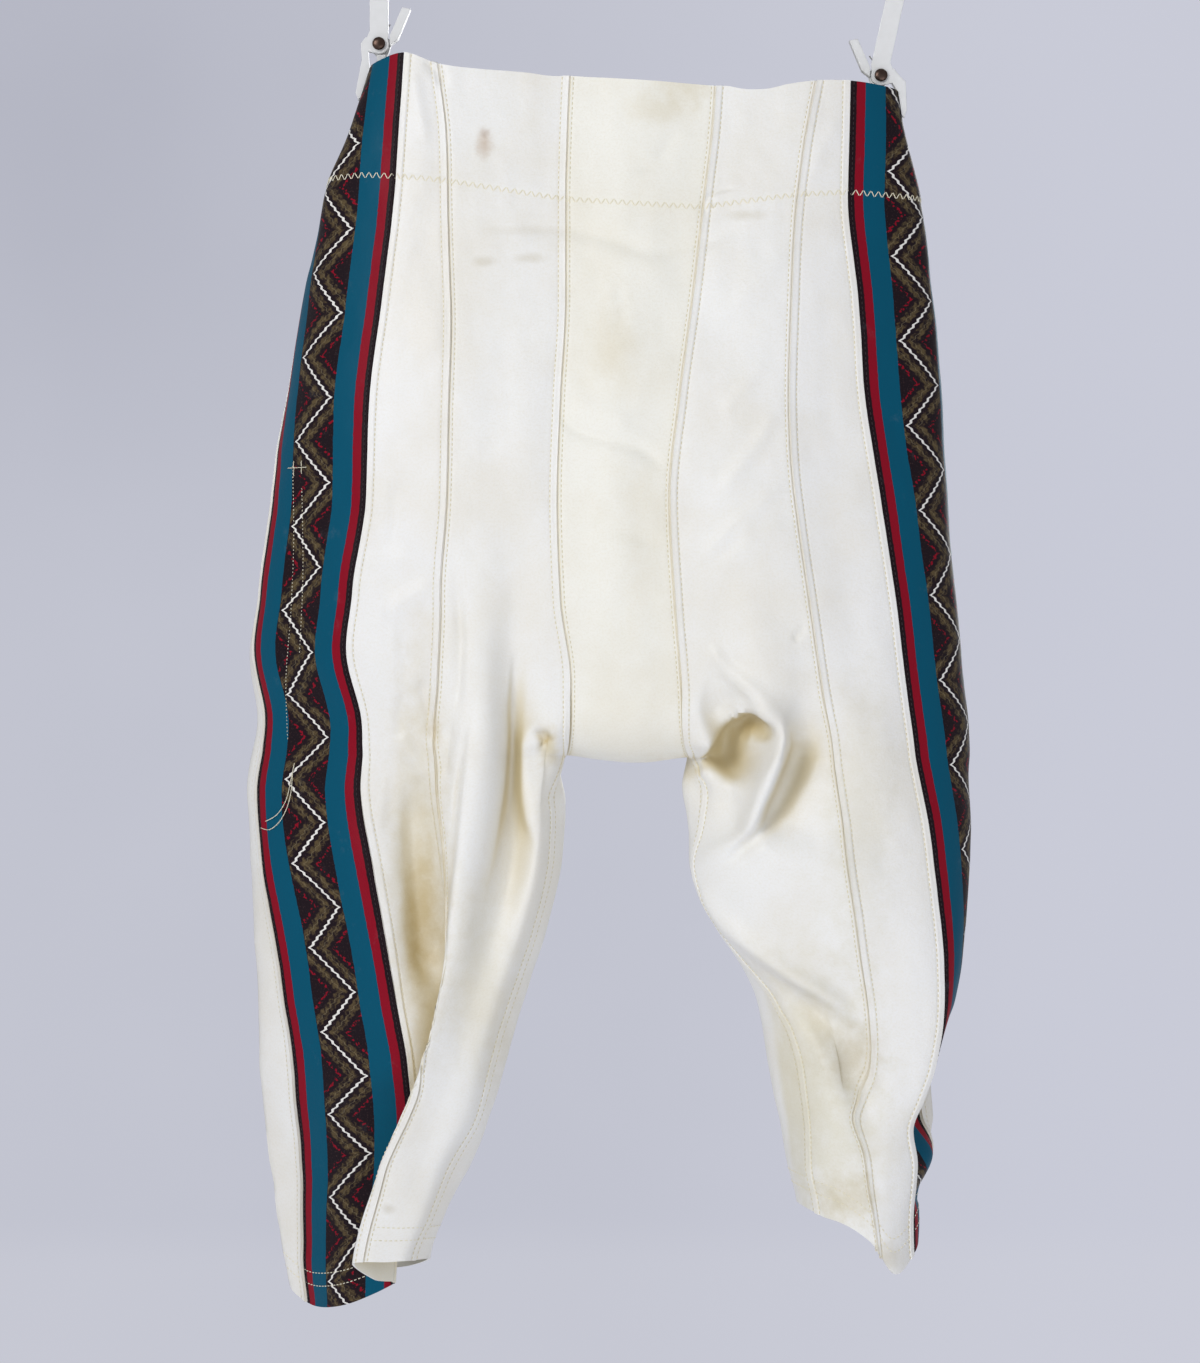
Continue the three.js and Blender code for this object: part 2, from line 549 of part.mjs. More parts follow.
const HALVES = [[LEFT, LEFT_SECTIONS, -1], [RIGHT, RIGHT_SECTIONS, 1]];
const EDGES = {};
HALVES.forEach(([half, sections, sign]) => {
  EDGES[half.side] = {
    start: seamInward(sections, 'start', sign),
    end: seamInward(sections, 'end', sign),
  };
  PANELS.forEach((panel) => {
    addCloth(`${panel.name}_${half.side}`, panelGeometry(sections, panel, sign), panel.colour);
  });
});

// The back panel runs down from the waist, goes under the crotch and comes up to the
// front rise, where the front panel meets it.
const rowNumbers = LEVELS.map((_, r) => r);
const downBack = rowNumbers.slice(0, CROTCH_ROW + 1).map((r) => centreRow(r, false, EDGES));
const upFront = rowNumbers.slice(RISE_ROWS, CROTCH_ROW).reverse()
  .map((r) => centreRow(r, true, EDGES));
const frontPanel = rowNumbers.slice(0, RISE_ROWS + 1).map((r) => centreRow(r, true, EDGES));
['outer', 'inner'].forEach((layer) => frontPanel[RISE_ROWS][layer].forEach((point) => {
  point.z += SEAM_GAP;
}));
addCloth('centre_panel_back', centreGeometry([...downBack, ...upFront]), CENTRE_COLOUR);
addCloth('centre_panel_front', centreGeometry(frontPanel), CENTRE_COLOUR);

// ---------------------------------------------------------------- hanger sizes
const WIRE_RADIUS = 2;            // hook wire
const HOOK_RADIUS = 22;           // to the middle of the wire
const HOOK_CENTRE = -20;          // z of the hook's centre, so its inside top is the origin
const HOOK_START = -30;           // degrees round the hook, from its shank to its tip
const HOOK_END = 200;
const HOOK_STEP = 23;
const BAR_HALF = 180;             // half the bar's length
const BAR_TOP = -70;
const BAR_BOTTOM = -79;
const BAR_THICK = 6;
const BOSS_HALF = 14;             // raised middle of the bar that takes the hook
const BOSS_TOP = -60;
const SOCKET_DEPTH = 12;
const BOSS_DEPTH = 14;
const CLIP_HALF = 4;              // half a clip's width, along y
const CLIP_Y = 9;                 // the clips hold the pants here
const STRAP_HALF = 5.5;           // half a strap's width
const STIRRUP_CHEEK = 2.7;        // side walls of the frame round the bar
const STIRRUP_END = 3;            // its top and bottom walls
const JAW_LEVEL = WAIST_LEVEL + 18; // the jaws reach down to here
const JAW_STEP = 0.5;             // steps along the cloth between the jaws
const JAW_CLEARANCE = 0.9;        // the wall curves towards the flat inner jaw
const PIN_RADIUS = 2;
const EAR_RADIUS = 6;             // the clips' pivot ears
const ROUND_SIDES = 20;           // faces round a boss, ear or pin
const CLIPS = [
  { half: LEFT, outward: -1, pivot: [-148, -133], strapTop: 0 },
  { half: RIGHT, outward: 1, pivot: [154, -152], strapTop: 14 },
];

const wasm = await Module();
wasm.setup();

const PLASTIC = new THREE.MeshStandardMaterial({ color: 0xf2f1ee, roughness: 0.35, metalness: 0 });
const STEEL = new THREE.MeshStandardMaterial({ color: 0x6b6259, roughness: 0.4, metalness: 0.9 });

function toManifold(geometry) {
  const bare = geometry.index ? geometry.toNonIndexed() : geometry.clone();
  Object.keys(bare.attributes).forEach((key) => {
    if (key !== 'position') bare.deleteAttribute(key);
  });
  const merged = mergeVertices(bare, 1e-4);
  return new wasm.Manifold(new wasm.Mesh({
    numProp: 3,
    vertProperties: new Float32Array(merged.getAttribute('position').array),
    triVerts: new Uint32Array(merged.getIndex().array),
  }));
}

function fromManifold(solid) {
  const mesh = solid.getMesh();
  const geometry = new THREE.BufferGeometry();
  geometry.setAttribute('position', new THREE.BufferAttribute(mesh.vertProperties, 3));
  geometry.setIndex(new THREE.BufferAttribute(mesh.triVerts, 1));
  geometry.computeVertexNormals();
  return geometry;
}

function join(geometries) {
  const solids = geometries.map(toManifold);
  return solids.slice(1).reduce((whole, solid) => whole.add(solid), solids[0]);
}

// A plate: an outline in x and z, from one y to another.
function plate(outline, fromY, toY) {
  const shape = new THREE.Shape(outline.map(([x, z]) => new THREE.Vector2(x, z)));
  const geometry = new THREE.ExtrudeGeometry(shape, { depth: toY - fromY, bevelEnabled: false });
  geometry.rotateX(Math.PI / 2);
  geometry.translate(0, toY, 0);
  return geometry;
}

function cylinderAlongY(radius, fromY, toY, x, z) {
  const geometry = new THREE.CylinderGeometry(radius, radius, toY - fromY, ROUND_SIDES);
  geometry.translate(x, (fromY + toY) / 2, z);
  return geometry;
}

function addPart(name, geometry, material) {
  const mesh = new THREE.Mesh(geometry, material);
  mesh.name = name;
  garment.add(mesh);
}

// ---------------------------------------------------------------- hook and bar
function hookGeometry() {
  const path = [
    new THREE.Vector3(0, 0, BOSS_TOP - SOCKET_DEPTH + SEAM_GAP),
    new THREE.Vector3(0, 0, BOSS_TOP),
    new THREE.Vector3(4, 0, BOSS_TOP + 10),
    new THREE.Vector3(14, 0, BOSS_TOP + 20),
  ];
  for (let degrees = HOOK_START; degrees <= HOOK_END; degrees += HOOK_STEP) {
    const angle = THREE.MathUtils.degToRad(degrees);
    path.push(new THREE.Vector3(HOOK_RADIUS * Math.cos(angle), 0,
      HOOK_CENTRE + HOOK_RADIUS * Math.sin(angle)));
  }
  const wire = new THREE.Shape();
  wire.absarc(0, 0, WIRE_RADIUS, 0, 2 * Math.PI, false);
  return new THREE.ExtrudeGeometry(wire, {
    extrudePath: new THREE.CatmullRomCurve3(path), steps: 44, curveSegments: 4, bevelEnabled: false,
  });
}

function barGeometry() {
  const outline = [
    [-BAR_HALF, BAR_BOTTOM], [BAR_HALF, BAR_BOTTOM], [BAR_HALF + 3, BAR_BOTTOM + 3],
    [BAR_HALF + 3, BAR_TOP - 3], [BAR_HALF, BAR_TOP], [BOSS_HALF + 12, BAR_TOP],
    [BOSS_HALF, BOSS_TOP + 3], [BOSS_HALF - 3, BOSS_TOP], [3 - BOSS_HALF, BOSS_TOP],
    [-BOSS_HALF, BOSS_TOP + 3], [-BOSS_HALF - 12, BAR_TOP], [-BAR_HALF, BAR_TOP],
    [-BAR_HALF - 3, BAR_TOP - 3], [-BAR_HALF - 3, BAR_BOTTOM + 3],
  ];
  const boss = new THREE.CylinderGeometry(EAR_RADIUS, EAR_RADIUS, BOSS_DEPTH, ROUND_SIDES);
  boss.rotateX(Math.PI / 2);
  boss.translate(0, 0, BOSS_TOP - BOSS_DEPTH / 2);
  const socket = new THREE.CylinderGeometry(WIRE_RADIUS + SEAM_GAP, WIRE_RADIUS + SEAM_GAP,
    SOCKET_DEPTH, 16);
  socket.rotateX(Math.PI / 2);
  socket.translate(0, 0, BOSS_TOP - SOCKET_DEPTH / 2 + 0.01);
  const bar = join([plate(outline, -BAR_THICK / 2, BAR_THICK / 2), boss]);
  return fromManifold(bar.subtract(toManifold(socket)));
}

addPart('hanger_hook', hookGeometry(), PLASTIC);
addPart('hanger_bar', barGeometry(), PLASTIC);

// ---------------------------------------------------------------- clips
// How far out from the pivot the cloth's two faces reach between a clip's jaws.
function clothReach(clip, level) {
  const section = makeSection(clip.half, level, centreMiddle(level, false),
    centreMiddle(level, true));
  const { stripeBack, stripeFront } = section.seams;
  const reaches = [];
  let drop = 0;
  for (let length = stripeBack; length <= stripeFront; length += JAW_STEP) {
    const point = pointAt(section, length);
    if (Math.abs(point.y - CLIP_Y) <= CLIP_HALF) {
      reaches.push((point.x - clip.pivot[0]) * clip.outward);
      drop = -point.z;
    }
  }
  return {
    outside: Math.max(...reaches) + SEAM_GAP,
    inside: Math.min(...reaches) - DOUBLED - JAW_CLEARANCE,
    height: -drop - clip.pivot[1],
  };
}

// Points given as distance out from the pivot and height above it, in x and z.
function clipOutline(clip, points) {
  const outline = points.map(([out, up]) => [
    clip.pivot[0] + out * clip.outward, clip.pivot[1] + up]);
  return clip.outward < 0 ? outline.reverse() : outline;
}

// Outer arm: stirrup on the bar, strap, ear and the jaw outside the cloth.
function outerArm(clip) {
  const top = clothReach(clip, WAIST_LEVEL);
  const tip = clothReach(clip, JAW_LEVEL);
  const neckTop = BAR_BOTTOM - 3 - clip.pivot[1];
  const stirrupX = clip.pivot[0] + clip.strapTop * clip.outward;
  const lowY = CLIP_Y - CLIP_HALF;
  const highY = CLIP_Y + CLIP_HALF;
  const strap = plate(clipOutline(clip, [
    [-STRAP_HALF, 7], [STRAP_HALF, 7], [clip.strapTop + STRAP_HALF, neckTop],
    [clip.strapTop - STRAP_HALF, neckTop]]), lowY, highY);
  const jaw = plate(clipOutline(clip, [
    [tip.outside, tip.height], [tip.outside + 1.6, tip.height - 1],
    [tip.outside + 3, tip.height + 3], [top.outside + 5, top.height + 6], [11, 0], [8, 4],
    [6.5, 4], [6.5, -4], [top.outside + 0.4, top.height]]), lowY, highY);
  const ear = plate(clipOutline(clip, [
    [-STRAP_HALF, 8], [-STRAP_HALF, 2], [0, -EAR_RADIUS], [7, -4.5], [7.5, 3],
    [STRAP_HALF, 8]]), lowY, CLIP_Y - SEAM_GAP / 2);
  const arm = join([strap, jaw, ear,
    cylinderAlongY(EAR_RADIUS, lowY, CLIP_Y - SEAM_GAP / 2, clip.pivot[0], clip.pivot[1]),
    ...stirrup(stirrupX, highY)]);
  return fromManifold(arm.subtract(pinHole(clip)));
}

// Frame round the bar that the strap hangs from.
function stirrup(x, strapY) {
  const inY = BAR_THICK / 2 + SEAM_GAP;
  const frame = (lowZ, highZ, fromY, toY) => plate([
    [x - STRAP_HALF, lowZ], [x + STRAP_HALF, lowZ], [x + STRAP_HALF, highZ],
    [x - STRAP_HALF, highZ]], fromY, toY);
  const low = BAR_BOTTOM - SEAM_GAP - STIRRUP_END;
  const high = BAR_TOP + STIRRUP_END;
  const outY = inY + STIRRUP_CHEEK;
  return [
    frame(low, high, -outY, -inY),
    frame(low, high, inY, outY),
    frame(BAR_TOP + SEAM_GAP, high, -outY, outY),
    frame(low, BAR_BOTTOM - SEAM_GAP, -outY, Math.max(strapY, outY)),
  ];
}

// Inner arm: finger tab, ear and the jaw inside the waist.
function innerArm(clip) {
  const top = clothReach(clip, WAIST_LEVEL);
  const tip = clothReach(clip, JAW_LEVEL);
  const lowY = CLIP_Y - CLIP_HALF;
  const highY = CLIP_Y + CLIP_HALF;
  const tab = plate(clipOutline(clip, [
    [-6.5, -1], [-6.5, 5], [-14, 22], [-19, 21], [-11.5, 3]]), lowY, highY);
  const jaw = plate(clipOutline(clip, [
    [-4, -6.5], [1, -6.5], [top.inside, top.height], [tip.inside, tip.height],
    [tip.inside - 1.8, tip.height - 1], [tip.inside - 4, tip.height + 4],
    [-5, -12]]), lowY, highY);
  const ear = plate(clipOutline(clip, [
    [-7, 3], [-7, -1], [-4.5, -8], [1, -8], [4, -4], [0, EAR_RADIUS]]),
  CLIP_Y + SEAM_GAP / 2, highY);
  const arm = join([tab, jaw, ear,
    cylinderAlongY(EAR_RADIUS, CLIP_Y + SEAM_GAP / 2, highY, clip.pivot[0], clip.pivot[1])]);
  return fromManifold(arm.subtract(pinHole(clip)));
}

function pinHole(clip) {
  return toManifold(cylinderAlongY(PIN_RADIUS + SEAM_GAP, CLIP_Y - 2 * CLIP_HALF,
    CLIP_Y + 2 * CLIP_HALF, clip.pivot[0], clip.pivot[1]));
}

function pinGeometry(clip) {
  const head = CLIP_Y - CLIP_HALF - SEAM_GAP;
  const tail = CLIP_Y + CLIP_HALF + SEAM_GAP;
  return fromManifold(join([
    cylinderAlongY(PIN_RADIUS, head - 0.5, tail + 0.5, clip.pivot[0], clip.pivot[1]),
    cylinderAlongY(PIN_RADIUS + 1, head - 1, head, clip.pivot[0], clip.pivot[1]),
    cylinderAlongY(PIN_RADIUS + 1, tail, tail + 1, clip.pivot[0], clip.pivot[1]),
  ]));
}

CLIPS.forEach((clip) => {
  addPart(`clip_outer_arm_${clip.half.side}`, outerArm(clip), PLASTIC);
  addPart(`clip_inner_arm_${clip.half.side}`, innerArm(clip), PLASTIC);
  addPart(`clip_pin_${clip.half.side}`, pinGeometry(clip), STEEL);
});

export default garment;
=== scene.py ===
"""Football pants hanging from a clip hanger, in the frame of the CAD part: metres, +Z up.

The cloth repeats the part's section tables and functions on a finer grid, worked out in
millimetres. Creases, felled seams, sewing, stains, painted shade and materials are added to it.
"""
import math

import bpy
import numpy as np
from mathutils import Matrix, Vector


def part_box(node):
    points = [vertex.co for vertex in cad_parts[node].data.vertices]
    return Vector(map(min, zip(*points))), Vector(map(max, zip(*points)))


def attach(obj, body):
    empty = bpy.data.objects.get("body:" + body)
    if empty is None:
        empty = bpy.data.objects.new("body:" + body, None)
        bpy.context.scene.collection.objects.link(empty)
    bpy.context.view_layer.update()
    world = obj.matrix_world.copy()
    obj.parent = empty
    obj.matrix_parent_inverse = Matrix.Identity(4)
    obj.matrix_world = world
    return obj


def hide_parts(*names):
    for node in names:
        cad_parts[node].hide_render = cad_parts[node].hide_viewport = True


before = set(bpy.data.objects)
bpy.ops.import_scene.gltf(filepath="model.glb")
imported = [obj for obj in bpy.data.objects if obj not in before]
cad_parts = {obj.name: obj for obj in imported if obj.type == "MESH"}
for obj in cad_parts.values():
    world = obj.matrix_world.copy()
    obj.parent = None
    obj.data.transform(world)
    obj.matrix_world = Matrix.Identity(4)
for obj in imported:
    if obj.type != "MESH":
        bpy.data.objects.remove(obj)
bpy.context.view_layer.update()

MM = 0.001

# ---------------------------------------------------------------- sizes, in mm, as in the part
STRIPE_WIDTH = 82
WAIST_LEVEL = 144
WAIST_BLEND = 228
RISE_LEVEL = 528
CLOSING_LEVEL = 508               # from here down a section's two ends turn to each other
CROTCH_LEVEL = 562
HEM_BLEND = 744
HEM_LEVEL = 864
CROTCH_DEPTH = 5
CENTRE_BULGE = 3
CASING_TURN = 70                  # cloth turned in at the waist and at the hems
HEM_TURN = 21
SPAN_STEPS = 20                   # points of a section's line in each span

# ---------------------------------------------------------------- section tables
# Each half: one row a section, as its drop, and x and y of its points in the order of the
# columns. waist and hem are the drops of the two edges at each column.
LEFT = {
    'side': 'left',
    'columns': [
        'seam', 'lip', 'valley', 'ridge', 'tuck', 'stripeBack', 'stripeMid', 'stripeFront', 'side',
        'frontMid', 'frontInner', 'inner', 'frontSeam',
    ],
    'sections': [
        (140, [-32, -44, -60, -87, -111, -132, -150, -144, -129, -93, -57, -42, -32],
         [-12, -12, -13, -14, -15, -13, 3, 25, 29, 28, 26, 25, 25]),
        (186, [-34, -45, -62, -88, -112, -135, -165, -160, -141, -96, -58, -43, -34],
         [-15, -15, -16, -17, -18, -16, 4, 28, 35, 33, 30, 29, 29]),
        (228, [-35, -46, -63, -89, -112, -138, -181, -177, -156, -102, -60, -45, -35],
         [-19, -19, -20, -21, -21, -18, 10, 36, 43, 38, 34, 33, 33]),
        (288, [-35, -47, -64, -92, -117, -145, -185, -195, -179, -108, -62, -45, -35],
         [-25, -26, -27, -28, -27, -22, 4, 34, 50, 44, 38, 37, 37]),
        (348, [-38, -49, -66, -96, -124, -152, -190, -205, -195, -117, -64, -48, -38],
         [-31, -32, -33, -34, -31, -24, 2, 32, 52, 48, 42, 41, 41]),
        (408, [-40, -50, -66, -96, -126, -154, -193, -214, -211, -123, -66, -49, -39],
         [-35, -36, -37, -37, -33, -26, 0, 30, 50, 50, 44, 43, 43]),
        (468, [-38, -48, -65, -86, -117, -164, -197, -223, -220, -129, -68, -48, -38],
         [-37, -37, -35, -40, -35, -27, 0, 30, 50, 52, 46, 45, 45]),
        (516, [-32, -46, -67, -83, -113, -161, -193, -220, -225, -135, -69, -46, -33],
         [-31, -31, -26, -40, -33, -27, -2, 26, 44, 50, 46, 43, 38]),
        (552, [-33, -46, -67, -87, -114, -157, -188, -218, -226, -138, -72, -46, -33],
         [-18, -26, -15, -41, -30, -26, -4, 22, 40, 48, 42, 30, 27]),
        (562, [-36, -46, -67, -88, -115, -155, -187, -217, -226, -139, -73, -44, -36],
         [5, -20, -13, -41, -29, -26, -5, 21, 39, 47, 40, 24, 5]),
        (588, [-41, -50, -67, -91, -115, -153, -185, -216, -225, -140, -75, -35, -41],
         [-8, -24, -13, -41, -26, -26, -7, 18, 37, 44, 34, 8, -8]),
        (624, [-43, -53, -69, -97, -113, -148, -182, -216, -224, -142, -78, -37, -43],
         [-10, -26, -17, -42, -24, -28, -10, 14, 36, 40, 30, 4, -10]),
        (666, [-53, -63, -78, -104, -109, -142, -177, -213, -224, -147, -87, -47, -53],
         [-12, -28, -28, -45, -22, -30, -10, 14, 36, 38, 28, 2, -12]),
        (708, [-67, -76, -91, -112, -104, -136, -171, -207, -223, -152, -99, -61, -67],
         [-14, -29, -34, -46, -24, -30, -12, 12, 34, 36, 27, 0, -14]),
        (744, [-78, -87, -102, -121, -108, -130, -165, -201, -223, -155, -107, -71, -78],
         [-16, -30, -37, -46, -27, -27, -11, 14, 36, 38, 28, -1, -16]),
        (774, [-86, -95, -111, -133, -119, -128, -163, -199, -221, -159, -113, -80, -86],
         [-18, -31, -38, -45, -29, -17, -3, 22, 42, 42, 28, -3, -18]),
        (804, [-102, -110, -123, -145, -129, -130, -165, -198, -218, -161, -119, -92, -102],
         [-20, -32, -37, -43, -28, -13, 4, 32, 48, 46, 29, -5, -20]),
        (834, [-114, -120, -133, -155, -142, -135, -168, -197, -214, -164, -125, -107, -114],
         [-21, -32, -37, -42, -26, -11, 8, 38, 52, 48, 31, -6, -21]),
        (864, [-125, -130, -141, -161, -149, -138, -169, -197, -209, -164, -132, -116, -125],
         [-22, -32, -37, -42, -26, -10, 10, 42, 54, 50, 32, -7, -22]),
        (894, [-125, -130, -141, -163, -149, -140, -168, -192, -202, -164, -132, -116, -125],
         [-22, -32, -37, -42, -26, -9, 10, 42, 54, 50, 32, -7, -22]),
    ],
    'waist': [155, 155, 153, 151, 148, 141, 147, 150, 152, 156, 160, 160, 160],
    'hem': [861, 860, 860, 860, 872, 876, 892, 896, 886, 877, 872, 862, 861],
    'outer_width': {
        'drop': [144, 186, 228, 348, 408, 468, 516, 562, 624, 666, 708, 744, 774, 804, 834, 864],
        'width': [22, 29, 33, 49, 50, 56, 51, 43, 42, 46, 50, 47, 43, 42, 46, 50],
    },
}

RIGHT = {
    'side': 'right',
    'columns': [
        'seam', 'lip', 'valley', 'ridge', 'dip', 'outer', 'stripeBack', 'stripeMid', 'stripeFront',
        'side', 'frontMid', 'frontInner', 'inner', 'frontSeam',
    ],
    'sections': [
        (140, [55, 62, 72, 84, 99, 116, 135, 159, 155, 141, 105, 75, 63, 55],
         [-12, -12, -13, -13, -14, -14, -13, 3, 25, 30, 29, 27, 26, 25]),
        (186, [52, 59, 70, 84, 99, 114, 134, 167, 163, 144, 105, 73, 61, 52],
         [-15, -15, -16, -17, -18, -18, -16, 4, 28, 35, 33, 31, 30, 29]),
        (228, [47, 56, 68, 81, 96, 112, 133, 177, 175, 148, 108, 70, 57, 47],
         [-19, -19, -20, -21, -21, -21, -18, 8, 34, 43, 38, 35, 34, 33]),
        (288, [40, 50, 63, 78, 96, 116, 139, 184, 182, 155, 108, 66, 50, 40],
         [-25, -26, -27, -28, -28, -27, -23, 8, 36, 50, 46, 39, 38, 37]),
        (348, [32, 44, 58, 75, 96, 118, 143, 188, 188, 161, 111, 60, 43, 33],
         [-31, -32, -33, -34, -33, -30, -25, 6, 36, 54, 50, 43, 42, 41]),
        (408, [26, 38, 54, 72, 96, 122, 152, 191, 193, 167, 114, 54, 37, 26],
         [-35, -36, -38, -39, -37, -32, -26, 4, 36, 56, 52, 45, 44, 43]),
        (468, [29, 40, 55, 75, 99, 128, 161, 197, 198, 173, 117, 56, 39, 29],
         [-37, -38, -40, -42, -40, -35, -27, 2, 34, 56, 54, 47, 46, 45]),
        (516, [33, 43, 57, 80, 104, 135, 167, 201, 204, 182, 122, 63, 45, 34],
         [-31, -34, -35, -45, -40, -36, -27, 2, 32, 54, 54, 46, 43, 38]),
        (552, [36, 46, 61, 94, 106, 140, 172, 204, 207, 188, 128, 70, 45, 36],
         [-18, -27, -6, -47, -30, -38, -27, 1, 31, 54, 54, 44, 32, 27]),
        (562, [40, 49, 63, 91, 103, 141, 173, 205, 207, 189, 129, 71, 39, 40],
         [5, -12, -3, -47, -26, -38, -27, 1, 31, 54, 53, 42, 22, 5]),
        (579, [47, 54, 66, 83, 98, 142, 176, 205, 207, 190, 131, 74, 35, 47],
         [-3, -11, -14, -44, -27, -38, -27, 0, 30, 54, 52, 42, 16, -3]),
        (600, [45, 53, 65, 76, 90, 144, 180, 206, 207, 190, 133, 78, 38, 45],
         [-4, -14, -24, -39, -31, -38, -27, 0, 30, 54, 52, 44, 15, -4]),
        (624, [40, 48, 62, 78, 105, 147, 183, 205, 205, 189, 135, 81, 40, 40],
         [-2, -16, -29, -36, -39, -38, -27, -2, 28, 54, 54, 46, 16, -2]),
        (666, [56, 64, 79, 99, 123, 154, 188, 203, 201, 185, 141, 96, 59, 56],
         [-2, -18, -28, -33, -35, -35, -27, -6, 26, 54, 58, 50, 22, -2]),
        (708, [88, 95, 105, 117, 133, 159, 190, 198, 197, 185, 147, 102, 79, 88],
         [-8, -20, -27, -30, -28, -33, -27, -8, 26, 54, 64, 54, 22, -8]),
        (744, [103, 110, 118, 128, 141, 160, 185, 178, 180, 187, 151, 108, 86, 103],
         [-16, -24, -30, -32, -26, -31, -28, -4, 35, 56, 68, 56, 18, -16]),
        (765, [106, 112, 121, 130, 142, 158, 177, 160, 174, 188, 152, 112, 90, 106],
         [-17, -25, -31, -33, -29, -32, -27, -2, 40, 50, 70, 58, 16, -17]),
        (783, [108, 114, 122, 131, 142, 156, 170, 153, 179, 189, 150, 115, 94, 108],
         [-18, -26, -32, -34, -32, -32, -25, 0, 40, 50, 70, 58, 15, -18]),
        (804, [109, 115, 123, 133, 143, 156, 173, 160, 188, 182, 149, 118, 98, 109],
         [-18, -26, -32, -35, -34, -33, -23, 1, 36, 56, 70, 58, 14, -18]),
        (834, [114, 119, 127, 135, 146, 158, 171, 176, 174, 178, 147, 122, 105, 114],
         [-18, -25, -31, -34, -34, -31, -20, -6, 30, 50, 66, 54, 14, -18]),
        (870, [114, 119, 127, 136, 147, 160, 172, 174, 172, 175, 146, 122, 106, 114],
         [-18, -25, -31, -34, -34, -31, -18, -8, 28, 48, 64, 52, 14, -18]),
    ],
    'waist': [161, 161, 163, 163, 160, 158, 158, 161, 163, 164, 165, 165, 165, 163],
    'hem': [833, 835, 837, 841, 850, 868, 858, 852, 851, 850, 846, 838, 830, 833],
    'outer_width': {
        'drop': [144, 186, 228, 288, 348, 408, 468, 516, 562, 624, 666, 708, 744, 774, 804, 840],
        'width': [21, 27, 31, 41, 47, 53, 54, 53, 53, 54, 52, 48, 42, 40, 39, 38],
    },
}

# ---------------------------------------------------------------- curves
def column_curve(positions, values):
    """A smooth curve through a table's column that never overshoots its rows."""
    at_rows = np.array(positions, float)
    row_values = np.array(values, float)
    widths = np.diff(at_rows)
    slopes = np.diff(row_values) / widths
    tangents = np.zeros(len(at_rows))
    tangents[0] = slopes[0]
    tangents[-1] = slopes[-1]
    for i in range(1, len(at_rows) - 1):
        if slopes[i - 1] * slopes[i] > 0:
            before = 2 * widths[i] + widths[i - 1]
            after = widths[i] + 2 * widths[i - 1]
            tangents[i] = (before + after) / (before / slopes[i - 1] + after / slopes[i])

    def curve(at):
        at = min(max(at, at_rows[0]), at_rows[-1])
        i = min(int(np.searchsorted(at_rows, at, side="right")) - 1, len(widths) - 1)
        t = (at - at_rows[i]) / widths[i]
        return ((2 * t**3 - 3 * t**2 + 1) * row_values[i]
                + (t**3 - 2 * t**2 + t) * widths[i] * tangents[i]
                + (3 * t**2 - 2 * t**3) * row_values[i + 1]
                + (t**3 - t**2) * widths[i] * tangents[i + 1])
    return curve


def smoothstep(low, high, at):
    t = np.clip((at - low) / (high - low), 0, 1)
    return t * t * (3 - 2 * t)


def curve_span(a, b, c, d, steps):
    """Points on the centripetal Catmull-Rom span from b to c, without c."""
    def knot(p, q):
        return max(math.sqrt(np.linalg.norm(p - q)), 1e-3)

    t1 = knot(a, b)
    t2 = t1 + knot(b, c)
    t3 = t2 + knot(c, d)
    t = (t1 + (t2 - t1) * np.arange(steps) / steps)[:, None]

    def mix(p, q, at_p, at_q):
        return p * (at_q - t) / (at_q - at_p) + q * (t - at_p) / (at_q - at_p)

    ab_c = mix(mix(a, b, 0, t1), mix(b, c, t1, t2), 0, t2)
    bc_d = mix(mix(b, c, t1, t2), mix(c, d, t2, t3), t1, t3)
    return mix(ab_c, bc_d, t1, t2)


def smooth_path(points, steps=12):
    """A smooth line through a few points."""
    points = [np.array(p, float) for p in points]
    padded = [points[0], *points, points[-1]]
    spans = [curve_span(*padded[i:i + 4], steps) for i in range(len(points) - 1)]
    return np.vstack([*spans, points[-1][None, :]])


def unit(vectors):
    return vectors / np.maximum(np.linalg.norm(vectors, axis=-1, keepdims=True), 1e-9)


def lengths_along(line):
    """How far each point of a line lies along it."""
    steps = np.linalg.norm(np.diff(line, axis=0), axis=1)
    return np.concatenate([[0], np.cumsum(steps)])


def points_at(at, lengths, line):
    """The points of a line at lengths along it."""
    return np.stack([np.interp(at, lengths, line[:, k]) for k in range(3)], axis=-1)


# ---------------------------------------------------------------- one half of the pants
def prepare_half(half):
    """Adds the curves down a half: x and y of each column, and the outer panel's width."""
    drops, xs, ys = zip(*half['sections'])
    half['curves'] = [(column_curve(drops, x), column_curve(drops, y))
                      for x, y in zip(zip(*xs), zip(*ys))]
    half['outer'] = column_curve(half['outer_width']['drop'], half['outer_width']['width'])
    half['stripe_column'] = half['columns'].index('stripeBack')


def column_drop(half, column, level):
    """A column's drop at a nominal level: the waist edge and the hem slope."""
    if level < WAIST_BLEND:
        share = (WAIST_BLEND - level) / (WAIST_BLEND - WAIST_LEVEL)
        return WAIST_BLEND - share * (WAIST_BLEND - half['waist'][column])
    if level > HEM_BLEND:
        share = (level - HEM_BLEND) / (HEM_LEVEL - HEM_BLEND)
        return HEM_BLEND + share * (half['hem'][column] - HEM_BLEND)
    return level


